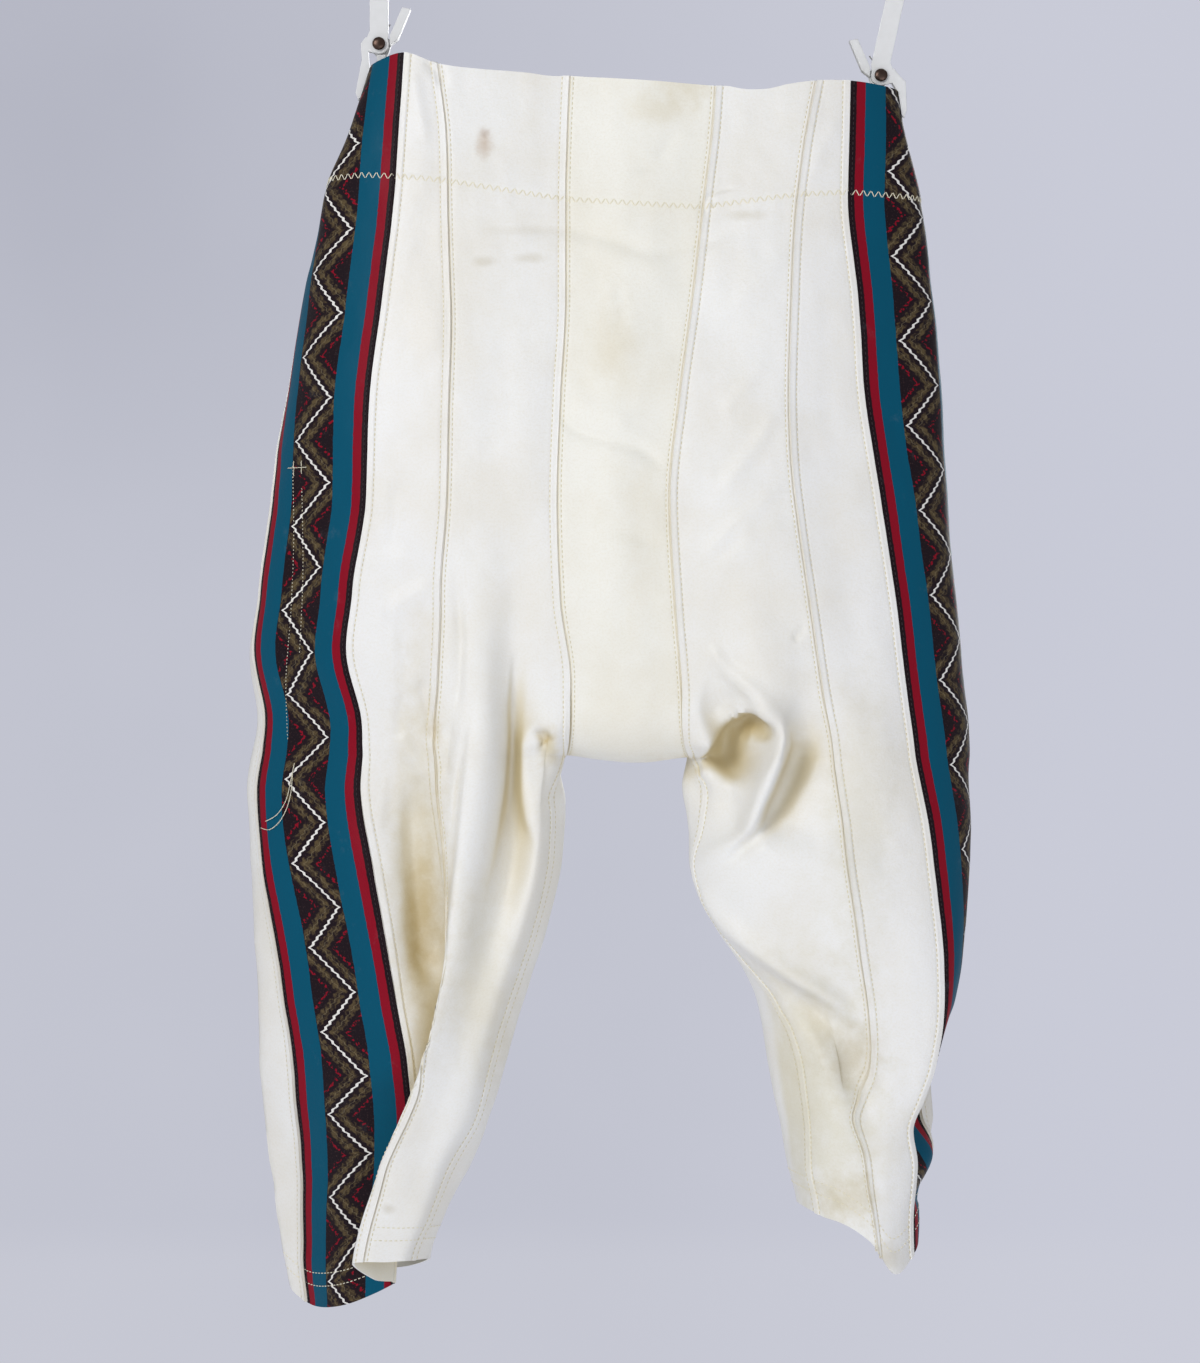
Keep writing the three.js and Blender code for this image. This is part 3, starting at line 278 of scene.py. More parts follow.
def rise_point(half, column, level):
    """The seat panel's edge between rise and crotch: a quarter of an ellipse."""
    x, y = half['curves'][column]
    fall = (level - RISE_LEVEL) / (CROTCH_LEVEL - RISE_LEVEL)
    share = math.sqrt(max(0, 1 - fall * fall))
    return np.array([
        x(CROTCH_LEVEL) + (x(RISE_LEVEL) - x(CROTCH_LEVEL)) * share,
        CROTCH_DEPTH + (y(RISE_LEVEL) - CROTCH_DEPTH) * share,
        -level])


def column_point(half, column, level):
    on_edge = column in (0, len(half['columns']) - 1)
    if on_edge and RISE_LEVEL < level < CROTCH_LEVEL:
        return rise_point(half, column, level)
    start = 0 if on_edge and level >= CROTCH_LEVEL else column
    drop = column_drop(half, start, level)
    x, y = half['curves'][start]
    return np.array([x(drop), y(drop), -drop])


def centre_middle(level, at_front):
    """Middle of the centre strip at a level."""
    ends = [column_point(half, len(half['columns']) - 1 if at_front else 0, level)
            for half in (LEFT, RIGHT)]
    middle = (ends[0] + ends[1]) / 2
    middle[1] += CENTRE_BULGE if at_front else -CENTRE_BULGE
    return middle


class Section:
    """One level of a half: a dense line with its cloth lengths and its seams."""

    def __init__(self, half, level):
        points = [column_point(half, column, level) for column in range(len(half['columns']))]
        closed = smoothstep(CLOSING_LEVEL, CROTCH_LEVEL, level)
        before = centre_middle(level, False) * (1 - closed) + points[-2] * closed
        after = centre_middle(level, True) * (1 - closed) + points[1] * closed
        self.line = smooth_path_through([before, *points, after])
        self.lengths = lengths_along(self.line)
        self.loop = level >= CROTCH_LEVEL
        stripe_back = self.lengths[SPAN_STEPS * half['stripe_column']]
        self.seams = {
            'start': 0,
            'outer': stripe_back - half['outer'](level),
            'stripe_back': stripe_back,
            'stripe_front': stripe_back + STRIPE_WIDTH,
            'end': self.lengths[-1],
        }

    def at(self, lengths):
        total = self.lengths[-1]
        at = lengths % total if self.loop else np.clip(lengths, 0, total)
        return points_at(at, self.lengths, self.line)


def smooth_path_through(points):
    """A dense line from the second to the second last of the points."""
    spans = [curve_span(*points[i:i + 4], SPAN_STEPS) for i in range(len(points) - 3)]
    return np.vstack([*spans, points[-2][None, :]])


# ---------------------------------------------------------------- rows
# (from level, to level, spacing) in mm; close together at the casing seam, the crotch's
# folds and the hems
ROW_BANDS = [
    (WAIST_LEVEL, 150, 1.0), (150, 206, 2.8), (206, 236, 1.2), (236, 490, 2.8),
    (490, RISE_LEVEL, 1.5),
]
LEG_BANDS = [(CROTCH_LEVEL, 640, 1.5), (640, 838, 2.6), (838, HEM_LEVEL, 1.2)]
UNDER_ROWS = 19


def band_levels(bands):
    levels = []
    for low, high, spacing in bands:
        count = round((high - low) / spacing)
        levels += [low + (high - low) * i / count for i in range(count)]
    return levels


RISE_LEVELS = band_levels(ROW_BANDS)
UNDER_LEVELS = [
    RISE_LEVEL + (CROTCH_LEVEL - RISE_LEVEL) * math.sin(math.pi / 2 * i / UNDER_ROWS)
    for i in range(UNDER_ROWS)]
LEVELS = RISE_LEVELS + UNDER_LEVELS + band_levels(LEG_BANDS) + [HEM_LEVEL]
RISE_ROW = len(RISE_LEVELS)
CROTCH_ROW = RISE_ROW + UNDER_ROWS

prepare_half(LEFT)
prepare_half(RIGHT)
LEFT['rows'] = [Section(LEFT, level) for level in LEVELS]
RIGHT['rows'] = [Section(RIGHT, level) for level in LEVELS]
LEFT['turn'] = 1                  # columns then rows give the way out of the cloth
RIGHT['turn'] = -1

# ---------------------------------------------------------------- seams
# A seam's allowance is felled to one side. Heights and distances from the seam in mm.
FELL_ROW = 4.7                    # far row of stitches, on the felled side
FLAT_ROW = 2.0                    # near row, on the flat side
FELLED = True
FLAT = False
EDGE_COLUMNS = {
    FELLED: np.array([0.05, 0.4, 0.8, 1.3, 2.2, 3.2, 3.9, 4.4, 4.7, 5.0, 5.6, 6.5, 8.0]),
    FLAT: np.array([0.05, 0.4, 0.9, 1.5, 2.0, 2.5, 3.4, 5.0]),
}
CELL = 2.1                        # about the spacing of the columns between
FINE_CELL = 1.4                   # and in the panels with the crotch's folds
FRONT_CELL = 3.4                  # and on the plain front
LEAST_BLOCK = 1.5                 # least cloth between an edge's columns and a fold
TUCK = 1.6                        # cloth of the centre strip that goes on under a seam
TUCK_DROP = 1.1                   # and how far down it goes


def bump(distance, middle, reach):
    return np.exp(-((distance - middle) / reach) ** 2)


def seam_height(distance, felled):
    """Height of the cloth over its plain form, at a distance from a seam."""
    groove = -0.6 * bump(distance, 0, 0.5) - TUCK_DROP * smoothstep(0, TUCK, -distance)
    if felled:
        strip = smoothstep(0.2, 0.8, distance) - smoothstep(4.0, 5.2, distance)
        roll = 0.4 * bump(distance, 0.9, 0.5)
        return groove + 0.7 * strip + roll - 0.35 * bump(distance, FELL_ROW, 0.5)
    return groove + 0.15 * bump(distance, 1.0, 0.6) - 0.25 * bump(distance, FLAT_ROW, 0.5)


# ---------------------------------------------------------------- creases
# (height, reach, route): the height out of the cloth (+, ridge) or in (-, trough), its half
# width, and its route as (x, drop), all in mm.
BACK_CREASES = [
    # seat panel: hooked crease, soft shadow under the casing, low lines
    (-2, 3.2, [(-38, 353), (-35, 363), (-25, 369), (-8, 374), (9, 379), (24, 390)]),
    (1.2, 7, [(-34, 350), (-20, 357), (4, 365)]),
    (-0.9, 1.6, [(-82, 249), (-70, 247), (-58, 245.5), (-44, 247)]),
    (-1.8, 5, [(-66, 251), (-39, 246), (-15, 251), (0, 256), (18, 261), (39, 256), (69, 247)]),
    (-0.9, 4, [(4, 214), (18, 207), (26, 196), (33, 186)]),
    (-0.9, 4, [(-35, 430), (-15, 427), (9, 431), (24, 436)]),
    (-0.9, 5, [(-32, 470), (-9, 473), (15, 471), (27, 475)]),
    (-0.7, 4, [(-6, 278), (-2, 300), (-16, 322)]),
    # right back: drag lines from the outer seam
    (1.5, 4.5, [(92, 354), (81, 371), (68, 390), (54, 408)]),
    (1.5, 4.5, [(96, 399), (81, 411), (62, 427), (45, 445)]),
    (1, 6, [(100, 256), (87, 271), (70, 288), (54, 306)]),
    (0.9, 4, [(85, 328), (72, 341), (56, 359)]),
    (0.9, 5, [(99, 420), (75, 435), (48, 456)]),
    (-1.6, 2.2, [(99, 493), (103, 488), (107, 483)]),
    (-1.2, 1.6, [(66, 223), (56, 224), (49, 229), (47, 235), (51, 241)]),
    # right crotch: two crests that meet, the valley beyond and the dark mouth between
    (3.5, 5, [(49, 492), (58, 507), (74, 522), (90, 540)]),
    (2.4, 6, [(92, 544), (92, 558), (82, 585), (73, 606), (54, 619), (38, 629)]),
    (-3, 11, [(108, 528), (104, 552), (95, 582), (84, 609)]),
    (-1.2, 6, [(57, 512), (50, 526), (46, 540)]),
    # right leg: long fold from the knee crest, hollow under it
    (3.2, 7, [(38, 629), (57, 660), (93, 687), (129, 711), (145, 724)]),
    (-7, 12, [(98, 704), (120, 722), (133, 740), (137, 768)]),
    (-5, 6.5, [(64, 539), (73, 541), (79, 546), (80, 554)]),
    (4, 7, [(44, 566), (54, 575), (64, 580), (74, 580)]),
    # left crotch: narrow valley, bright rims beside it, dark notch at the inseam
    (4.5, 5, [(-58, 540), (-59, 562), (-58, 588), (-53, 612)]),
    (-4, 6, [(-50, 544), (-47, 558), (-45, 576), (-44, 596)]),
    (4, 8, [(-79, 520), (-81, 566), (-85, 604), (-92, 640), (-100, 690)]),
    # left leg: creases beside the outer seam
    (-2.4, 3.2, [(-100, 456), (-98, 497), (-100, 535)]),
    (-2.4, 3.6, [(-104, 540), (-106, 556), (-109, 576)]),
    (1.6, 4, [(-140, 470), (-137, 500), (-138, 560), (-141, 600)]),
    (-9, 9, [(-127, 570), (-125, 610), (-121, 650), (-118, 680), (-116, 704)]),
    (-2, 3, [(-121, 513), (-117, 535), (-113, 554)]),
    (1.8, 5, [(-136, 545), (-127, 561), (-117, 576)]),
    (-2, 4, [(-132, 515), (-137, 555), (-139, 615)]),
    (1.6, 5, [(-148, 620), (-141, 660), (-137, 700)]),
    (1.6, 6, [(-144, 480), (-128, 468), (-111, 459)]),
    (1, 5, [(-138, 528), (-127, 516), (-117, 504)]),
    (-1, 5, [(-135, 396), (-138, 444)]),
    # waist edge: small roll on the left, slack on both sides
    (-2, 3, [(-120, 145), (-112, 153), (-107, 161)]),
    (1, 4, [(-127, 150), (-123, 174), (-117, 198)]),
    (1.2, 5, [(128, 180), (118, 198), (111, 216)]),
]
# Similar ones on the hidden side.
FRONT_CREASES = [
    (1.4, 8, [(-120, 270), (-70, 300), (-36, 350)]),
    (1.4, 8, [(130, 290), (84, 330), (40, 372)]),
    (2.2, 7, [(-34, 500), (-70, 470), (-130, 452)]),
    (-2, 8, [(-36, 520), (-84, 516), (-150, 530)]),
    (2.2, 7, [(38, 505), (84, 480), (150, 470)]),
    (-2, 8, [(40, 528), (100, 540), (160, 580)]),
    (-2, 9, [(-90, 640), (-130, 664), (-190, 670)]),
    (2, 9, [(90, 640), (130, 676), (170, 690)]),
    (-1, 5, [(-30, 262), (0, 270), (26, 262)]),
    (-1.1, 5, [(-34, 420), (0, 428), (30, 418)]),
]
CREASE_FADE = 0.22                # share of a crease's route over which each end fades
CREASE_END = 0.15                 # and the share of its height that is left there


def follow_route(points, places):
    """Each point's distance from a smooth route, positive on its right-hand side seen from
    the back, the direction to that side, and the share of the route that it lies at."""
    route = smooth_path([(x, 0, drop) for x, drop in places], 6)[:, [0, 2]]
    place = np.stack([points[..., 0], -points[..., 2]], axis=-1)
    starts = lengths_along(route)
    nearest = np.full(place.shape[:-1], np.inf)
    along = np.zeros(place.shape[:-1])
    side = np.zeros(place.shape)
    hand = np.ones(place.shape[:-1])
    for i, leg in enumerate(np.diff(starts)):
        way = (route[i + 1] - route[i]) / leg
        right = np.array([-way[1], way[0]])
        forward = np.clip((place - route[i]) @ way, 0, leg)
        offset = place - route[i] - forward[..., None] * way
        distance = np.linalg.norm(offset, axis=-1)
        closer = distance < nearest
        nearest = np.where(closer, distance, nearest)
        along = np.where(closer, starts[i] + forward, along)
        hand = np.where(closer, np.where(offset @ right < 0, -1.0, 1.0), hand)
        side = np.where(closer[..., None], right, side)
    return nearest * hand, side, along / starts[-1]


def fade_ends(share, start, end):
    """0 at both ends of a route and 1 between, over the shares given."""
    return smoothstep(0, start, share) * (1 - smoothstep(1 - end, 1, share))


def crease_height(points, facing, crease):
    """Height of one crease at every point of the cloth that faces its way."""
    height, reach, route = crease
    distance, _, share = follow_route(points, route)
    ends = fade_ends(share, CREASE_FADE, CREASE_FADE)
    return (height * bump(distance, 0, reach)
            * (CREASE_END + (1 - CREASE_END) * ends) * smoothstep(0.05, 0.5, facing))


# Sharp fold edges at the back, as routes in (x, drop) with the hollow on their right-hand
# side. The columns are the crest's height, the hollow's depth and its reach at the route's
# start and end, the width over which the cloth falls into it, how far the crest leans over
# it, and the shares of the route over which the fold fades in and out.
FOLD_COLUMNS = ('crest', 'depth', 'reach', 'fall', 'lean', 'fades', 'route')
FOLD_EDGES = [
    # right crotch: the seat's lip over the mouth, and the crest beside the long valley
    (5.5, (8, 11), (26, 15), 2.8, 3, (0.14, 0.2),
     [(41, 564), (49, 553), (57.5, 541), (66, 535), (74, 534), (81, 537), (90, 547)]),
    (1, (6, 5), (10, 28), 7, 0, (0.3, 0.15),
     [(50, 624), (66, 611), (76, 598), (84, 580), (90, 562), (92, 550), (91, 543)]),
    # left crotch: the seat's lip, and the narrow valley beyond the rolled rim
    (1.4, (5, 5), (20, 20), 4.5, 0.8, (0.3, 0.35),
     [(-59, 546), (-53, 543), (-47, 544), (-42, 548), (-38, 555)]),
    (1.2, (2, 2.8), (8, 14), 3, 0.5, (0.5, 0.2),
     [(-90, 672), (-83, 636), (-77, 600), (-74, 570), (-72, 538), (-69, 507), (-67, 494)]),
    # left leg: crisp edge of the bright fold
    (2.4, (2, 5), (5, 12), 2.6, 0.5, (0.3, 0.35),
     [(-91, 536), (-94, 566), (-98, 604), (-102, 640), (-107, 676), (-110, 694)]),
    # right knee
    (2.4, (3, 5), (14, 34), 7, 0.4, (0.2, 0.25),
     [(34, 628), (52, 655), (92, 686), (126, 709), (146, 724)]),
]
CREST_REACH = 6                   # cloth over which a crest rises to its edge
LEAN_REACH = 4                    # and over which it leans
HOLLOW_FLAT = 0.35                # share of a hollow's reach that stays deep


def fold_offset(points, out):
    """The way that the sharp folds move each point: towards the viewer's side and along."""
    offset = np.zeros(points.shape)
    facing = smoothstep(-0.35, 0.15, -out[..., 1])
    for row in FOLD_EDGES:
        edge = dict(zip(FOLD_COLUMNS, row))
        distance, side, share = follow_route(points, edge['route'])
        ends = fade_ends(share, *edge['fades'])
        reach = edge['reach'][0] * (1 - share) + edge['reach'][1] * share
        depth = edge['depth'][0] * (1 - share) + edge['depth'][1] * share
        fallen = smoothstep(0, edge['fall'], distance)
        crest = edge['crest'] * bump(np.minimum(distance, 0), 0, CREST_REACH) * (1 - fallen)
        hollow = fallen * (1 - smoothstep(HOLLOW_FLAT, 1, distance / reach))
        lean = edge['lean'] * bump(distance, 0, LEAN_REACH) * ends * facing
        offset[..., 1] -= (crest - depth * hollow) * ends * facing
        offset[..., 0] += side[..., 0] * lean
        offset[..., 2] -= side[..., 1] * lean
    return offset


NOISE_CELLS = (64, 256)
NOISE_START = -400


def soft_noise(points, cell_x, cell_drop, seed):
    """Smooth random heights from -1 to 1, in cells of a given size, by x and drop."""
    values = np.random.default_rng(seed).uniform(-1, 1, NOISE_CELLS)
    at_x = (points[..., 0] - NOISE_START) / cell_x
    at_drop = (-points[..., 2]) / cell_drop
    column = np.floor(at_x).astype(int)
    row = np.floor(at_drop).astype(int)
    share_x = smoothstep(0, 1, at_x - column)
    share_drop = smoothstep(0, 1, at_drop - row)

    def value(c, r):
        """The height at a cell's corner; the cells repeat."""
        return values[c % NOISE_CELLS[0], r % NOISE_CELLS[1]]

    top = value(column, row) * (1 - share_x) + value(column + 1, row) * share_x
    low = value(column, row + 1) * (1 - share_x) + value(column + 1, row + 1) * share_x
    return top * (1 - share_drop) + low * share_drop


# The casing's seam, as drops at places across the back; it is level at the front.
CASING_LINE = {'x': [-180, -156, -111, -36, 9, 45, 102, 135, 177],
               'drop': [214, 213.6, 217.8, 229.2, 232.2, 234, 226.8, 225, 226]}
CASING_FRONT = 232


def casing_drop(points, out):
    """Drop of the casing's seam beside each point."""
    back = np.interp(points[..., 0], CASING_LINE['x'], CASING_LINE['drop'])
    front = smoothstep(-0.2, 0.6, out[..., 1])
    return back * (1 - front) + CASING_FRONT * front


# The left stripe waves sideways: shift in x by drop, for the cloth beyond an x.
WAVE_DROPS = [420, 462, 501, 540, 583, 630, 690]
WAVE_SHIFTS = [0, 1, -4, 1.5, -4.5, -3, 0]
WAVE_FROM = -125
WAVE_FULL = -160
wave_curve = column_curve(WAVE_DROPS, WAVE_SHIFTS)
WAVE_TABLE = [wave_curve(drop) for drop in range(WAVE_DROPS[0], WAVE_DROPS[-1] + 1)]


def stripe_waves(points):
    """The way that the left stripe's waves move each point."""
    shift = np.interp(-points[..., 2], range(WAVE_DROPS[0], WAVE_DROPS[-1] + 1), WAVE_TABLE)
    offset = np.zeros(points.shape)
    offset[..., 0] = shift * smoothstep(WAVE_FROM, WAVE_FULL, points[..., 0])
    return offset


# Random unevenness: its height, its cells' size in x and in drop, and its seed.
GATHERS = (0.28, 7, 60, 3)        # along the casing's seam
SLACK = [(1.1, 46, 90, 5), (0.7, 19, 34, 7)]    # below the casing
RIPPLES = (0.22, 8, 13, 9)        # everywhere
CASING_RISE = 0.55                # the doubled casing stands out, with a groove at its seam
CASING_GROOVE = 0.45


def uneven(points, height, cell_x, cell_drop, seed):
    return height * soft_noise(points, cell_x, cell_drop, seed)


def cloth_height(points, out):
    """Everything that lifts or sinks the cloth over its plain form, but for the seams."""
    height = sum(crease_height(points, -out[..., 1], crease) for crease in BACK_CREASES)
    height += sum(crease_height(points, out[..., 1], crease) for crease in FRONT_CREASES)
    below = -points[..., 2] - casing_drop(points, out)
    height += (CASING_RISE * (1 - smoothstep(-1.5, 3.0, below))
               - CASING_GROOVE * bump(below, 0, 1.6))
    height += uneven(points, *GATHERS) * bump(below, 0, 12)
    for slack in SLACK:
        height += uneven(points, *slack) * smoothstep(10, 60, below)
    return height + uneven(points, *RIPPLES)


# ---------------------------------------------------------------- panels
# Cloth each way over which the direction down is taken: on the plain form, and creased.
BASE_SPAN = 3.0
FINE_SPAN = 1.0


def down_steps(grid, span):
    """Steps down each column, over rows that lie about a span away on both sides."""
    along = lengths_along(grid[:, grid.shape[1] // 2])
    rows = np.arange(len(along))
    above = np.minimum(np.searchsorted(along, along - span), rows - 1)
    below = np.maximum(np.searchsorted(along, along + span, side="right") - 1, rows + 1)
    return grid[np.minimum(below, rows[-1])] - grid[np.maximum(above, 0)]


class Panel:
    """One cut piece: rows and columns of outer points, directions out and cloth lengths."""

    def __init__(self, name, base, lengths, turn, felled, ghost=0, tuck=0.0):
        across = np.gradient(base, axis=1)
        out = unit(np.cross(across, down_steps(base, BASE_SPAN))) * turn
        if ghost:
            base = base[:, ghost:-ghost]
            out = out[:, ghost:-ghost]
        self.name = name
        self.turn = turn
        self.lengths = lengths
        self.width = lengths[:, -1] - tuck
        height = (cloth_height(base, out) + seam_height(lengths, felled[0])
                  + seam_height(self.width[:, None] - lengths, felled[1]))
        self.points = (base + out * height[..., None] + fold_offset(base, out)
                       + stripe_waves(base))
        across = np.gradient(self.points, axis=1)
        self.out = unit(np.cross(across, down_steps(self.points, FINE_SPAN))) * turn
        self.along = lengths_along(base[:, base.shape[1] // 2])
        self.area = quad_area(base)

    def down_line(self, distance, from_far_seam=False):
        """The line that runs down the panel at a distance from one of its seams."""
        at = self.width - distance if from_far_seam else np.full(len(self.width), distance)
        return tuple(
            np.array([points_at(at[r], self.lengths[r], grid[r]) for r in range(len(at))])
            for grid in (self.points, self.out))

    def cross_line(self, measure):
        """The line across the panel where measure, a grid that grows downwards, is zero."""
        points = []
        outs = []
        for c in range(measure.shape[1]):
            column = measure[:, c]
            r = int(np.argmax(column > 0)) - 1
            if r < 0:
                continue
            share = -column[r] / (column[r + 1] - column[r])
            for kept, grid in ((points, self.points), (outs, self.out)):
                kept.append(grid[r, c] * (1 - share) + grid[r + 1, c] * share)
        return np.array(points), unit(np.array(outs))

    def casing_line(self):
        """The line along the casing's seam."""
        return self.cross_line(-self.points[..., 2] - casing_drop(self.points, self.out))

    def hem_line(self, distance):
        """The line at a distance above the leg's edge."""
        steps = np.linalg.norm(np.diff(self.points, axis=0), axis=2)
        to_hem = np.cumsum(steps[::-1], axis=0)[::-1]
        to_hem = np.vstack([to_hem, np.zeros((1, to_hem.shape[1]))])
        return self.cross_line(distance - to_hem)


def quad_area(grid):
    """Area of a grid of points."""
    first = grid[1:, 1:] - grid[:-1, :-1]
    second = grid[1:, :-1] - grid[:-1, 1:]
    return float(np.linalg.norm(np.cross(first, second), axis=2).sum() / 2)


def column_lengths(widths, felled, cell=CELL, turn=None):
    """Cloth lengths of a panel's columns on every row: close at both seams. turn is the
    length on each row at which the cloth has turned in towards its first seam."""
    near, far = (EDGE_COLUMNS[side] for side in felled)
    high = widths - far[-1]
    marks = [np.full(len(widths), near[-1]), high]
    if turn is not None:
        marks.insert(1, np.maximum(turn, near[-1] + LEAST_BLOCK))
    blocks = [np.repeat(near[None, :], len(widths), axis=0)]
    for low, top in zip(marks, marks[1:]):
        cells = max(4, math.ceil((top - low).max() / cell))
        shares = np.arange(1, cells + 1) / cells
        blocks.append(low[:, None] + (top - low)[:, None] * shares)
    return np.hstack([*blocks, widths[:, None] - far[None, -2::-1]])


GHOST = 3.0                       # cloth past a seam that helps to find the direction out


def half_panel(half, name, start, end, felled):
    """A panel of one half, between two of its seams."""
    rows = half['rows']
    widths = np.array([section.seams[end] - section.seams[start] for section in rows])
    if name == 'back_inner':
        turn = np.array([section.lengths[SPAN_STEPS] for section in rows])
        lengths = column_lengths(widths, felled, FINE_CELL, turn)
    else:
        lengths = column_lengths(widths, felled, FRONT_CELL if name == 'front' else CELL)
    reach = np.hstack([lengths[:, :1] - GHOST, lengths, lengths[:, -1:] + GHOST])
    base = np.array([
        section.at(section.seams[start] + reach[r]) for r, section in enumerate(rows)])
    return Panel(f"{name}_{half['side']}", base, lengths, half['turn'], felled, ghost=1)


def strip_panel(name, places, turn, felled):
    """A panel of the centre strip. places are (row, whether at the front), in order."""
    lefts = np.array([LEFT['rows'][r].line[-1 if front else 0] for r, front in places])
    rights = np.array([RIGHT['rows'][r].line[-1 if front else 0] for r, front in places])
    widths = np.linalg.norm(rights - lefts, axis=1)
    lengths = column_lengths(widths, felled, FRONT_CELL if places[0][1] else CELL)
    lengths = np.hstack([np.full((len(widths), 1), -TUCK), lengths, widths[:, None] + TUCK])
    shares = (lengths / widths[:, None])[..., None]
    flat = lefts[:, None] * (1 - shares) + rights[:, None] * shares
    fall = np.gradient((lefts + rights) / 2, axis=0)
    out = unit(np.cross(rights - lefts, fall)) * turn
    bulge = CENTRE_BULGE * np.sin(np.pi * shares) ** 2
    return Panel(name, flat + out[:, None] * bulge, lengths, turn, felled, tuck=TUCK)


# (piece, the seams that it lies between, and whether each is felled onto it)
HALF_PANELS = [
    ('back_inner', 'start', 'outer', (FELLED, FLAT)),
    ('back_outer', 'outer', 'stripe_back', (FELLED, FELLED)),
    ('side_stripe', 'stripe_back', 'stripe_front', (FLAT, FLAT)),
    ('front', 'stripe_front', 'end', (FELLED, FLAT)),
]
PANELS = {}
for half in (LEFT, RIGHT):
    for name, start, end, felled in HALF_PANELS:
        panel = half_panel(half, name, start, end, felled)
        PANELS[panel.name] = panel

DOWN_THE_BACK = [(r, False) for r in range(CROTCH_ROW + 1)]
UP_THE_FRONT = [(r, True) for r in range(CROTCH_ROW - 1, RISE_ROW - 1, -1)]
DOWN_THE_FRONT = [(r, True) for r in range(RISE_ROW + 1)]
PANELS['centre_panel_back'] = strip_panel(
    'centre_panel_back', DOWN_THE_BACK + UP_THE_FRONT, -1, (FLAT, FLAT))
PANELS['centre_panel_front'] = strip_panel(
    'centre_panel_front', DOWN_THE_FRONT, 1, (FELLED, FELLED))


# ---------------------------------------------------------------- materials
class Material:
    """A node material: add() makes a node, links what is a socket and sets the rest."""

    def __init__(self, name):
        self.data = bpy.data.materials.new(name)
        self.data.use_nodes = True
        self.tree = self.data.node_tree
        self.tree.nodes.clear()

    @classmethod
    def of_tree(cls, tree):
        """The same helper for a node tree that isn't a material's."""
        helper = cls.__new__(cls)
        helper.tree = tree
        tree.nodes.clear()
        return helper

    def add(self, kind, inputs=(), **settings):
        node = self.tree.nodes.new("ShaderNode" + kind)
        for key, value in settings.items():
            setattr(node, key, value)
        for key, value in dict(inputs).items():
            if isinstance(value, bpy.types.NodeSocket):
                self.tree.links.new(value, node.inputs[key])
            else:
                node.inputs[key].default_value = value
        return node

    def math(self, operation, *values):
        node = self.add("Math", dict(enumerate(values)), operation=operation)
        return node.outputs[0]

    def times(self, first, second):
        return self.math("MULTIPLY", first, second)

    def mix(self, factor, first, second, blend="MIX"):
        node = self.add("Mix", {0: factor, 6: first, 7: second}, data_type='RGBA',
                        blend_type=blend)
        return node.outputs[2]

    def ramp(self, value, stops, interpolation="LINEAR"):
        node = self.add("ValToRGB", {0: value})
        node.color_ramp.interpolation = interpolation
        elements = node.color_ramp.elements
        while len(elements) < len(stops):
            elements.new(0.5)
        for element, (place, colour) in zip(elements, stops):
            element.position = place
            element.color = colour
        return node.outputs[0]

    def noise(self, vector, scale, detail=2.0, roughness=0.5):
        node = self.add("TexNoise", {"Vector": vector, "Scale": scale, "Detail": detail,
                                     "Roughness": roughness})
        return node.outputs[0]

    def smooth(self, value, low, high):
        node = self.add("MapRange", {0: value, 1: low, 2: high}, interpolation_type="SMOOTHSTEP")
        return node.outputs[0]

    def surface(self, **inputs):
        names = {key.replace("_", " "): value for key, value in inputs.items()}
        shader = self.add("BsdfPrincipled", names)
        self.add("OutputMaterial", {"Surface": shader.outputs[0]})
        return self.data


def rgb(red, green, blue):
    """A colour from its 0 to 255 screen values."""
    def linear(value):
        value /= 255
        return value / 12.92 if value <= 0.04045 else ((value + 0.055) / 1.055) ** 2.4
    return (linear(red), linear(green), linear(blue), 1.0)


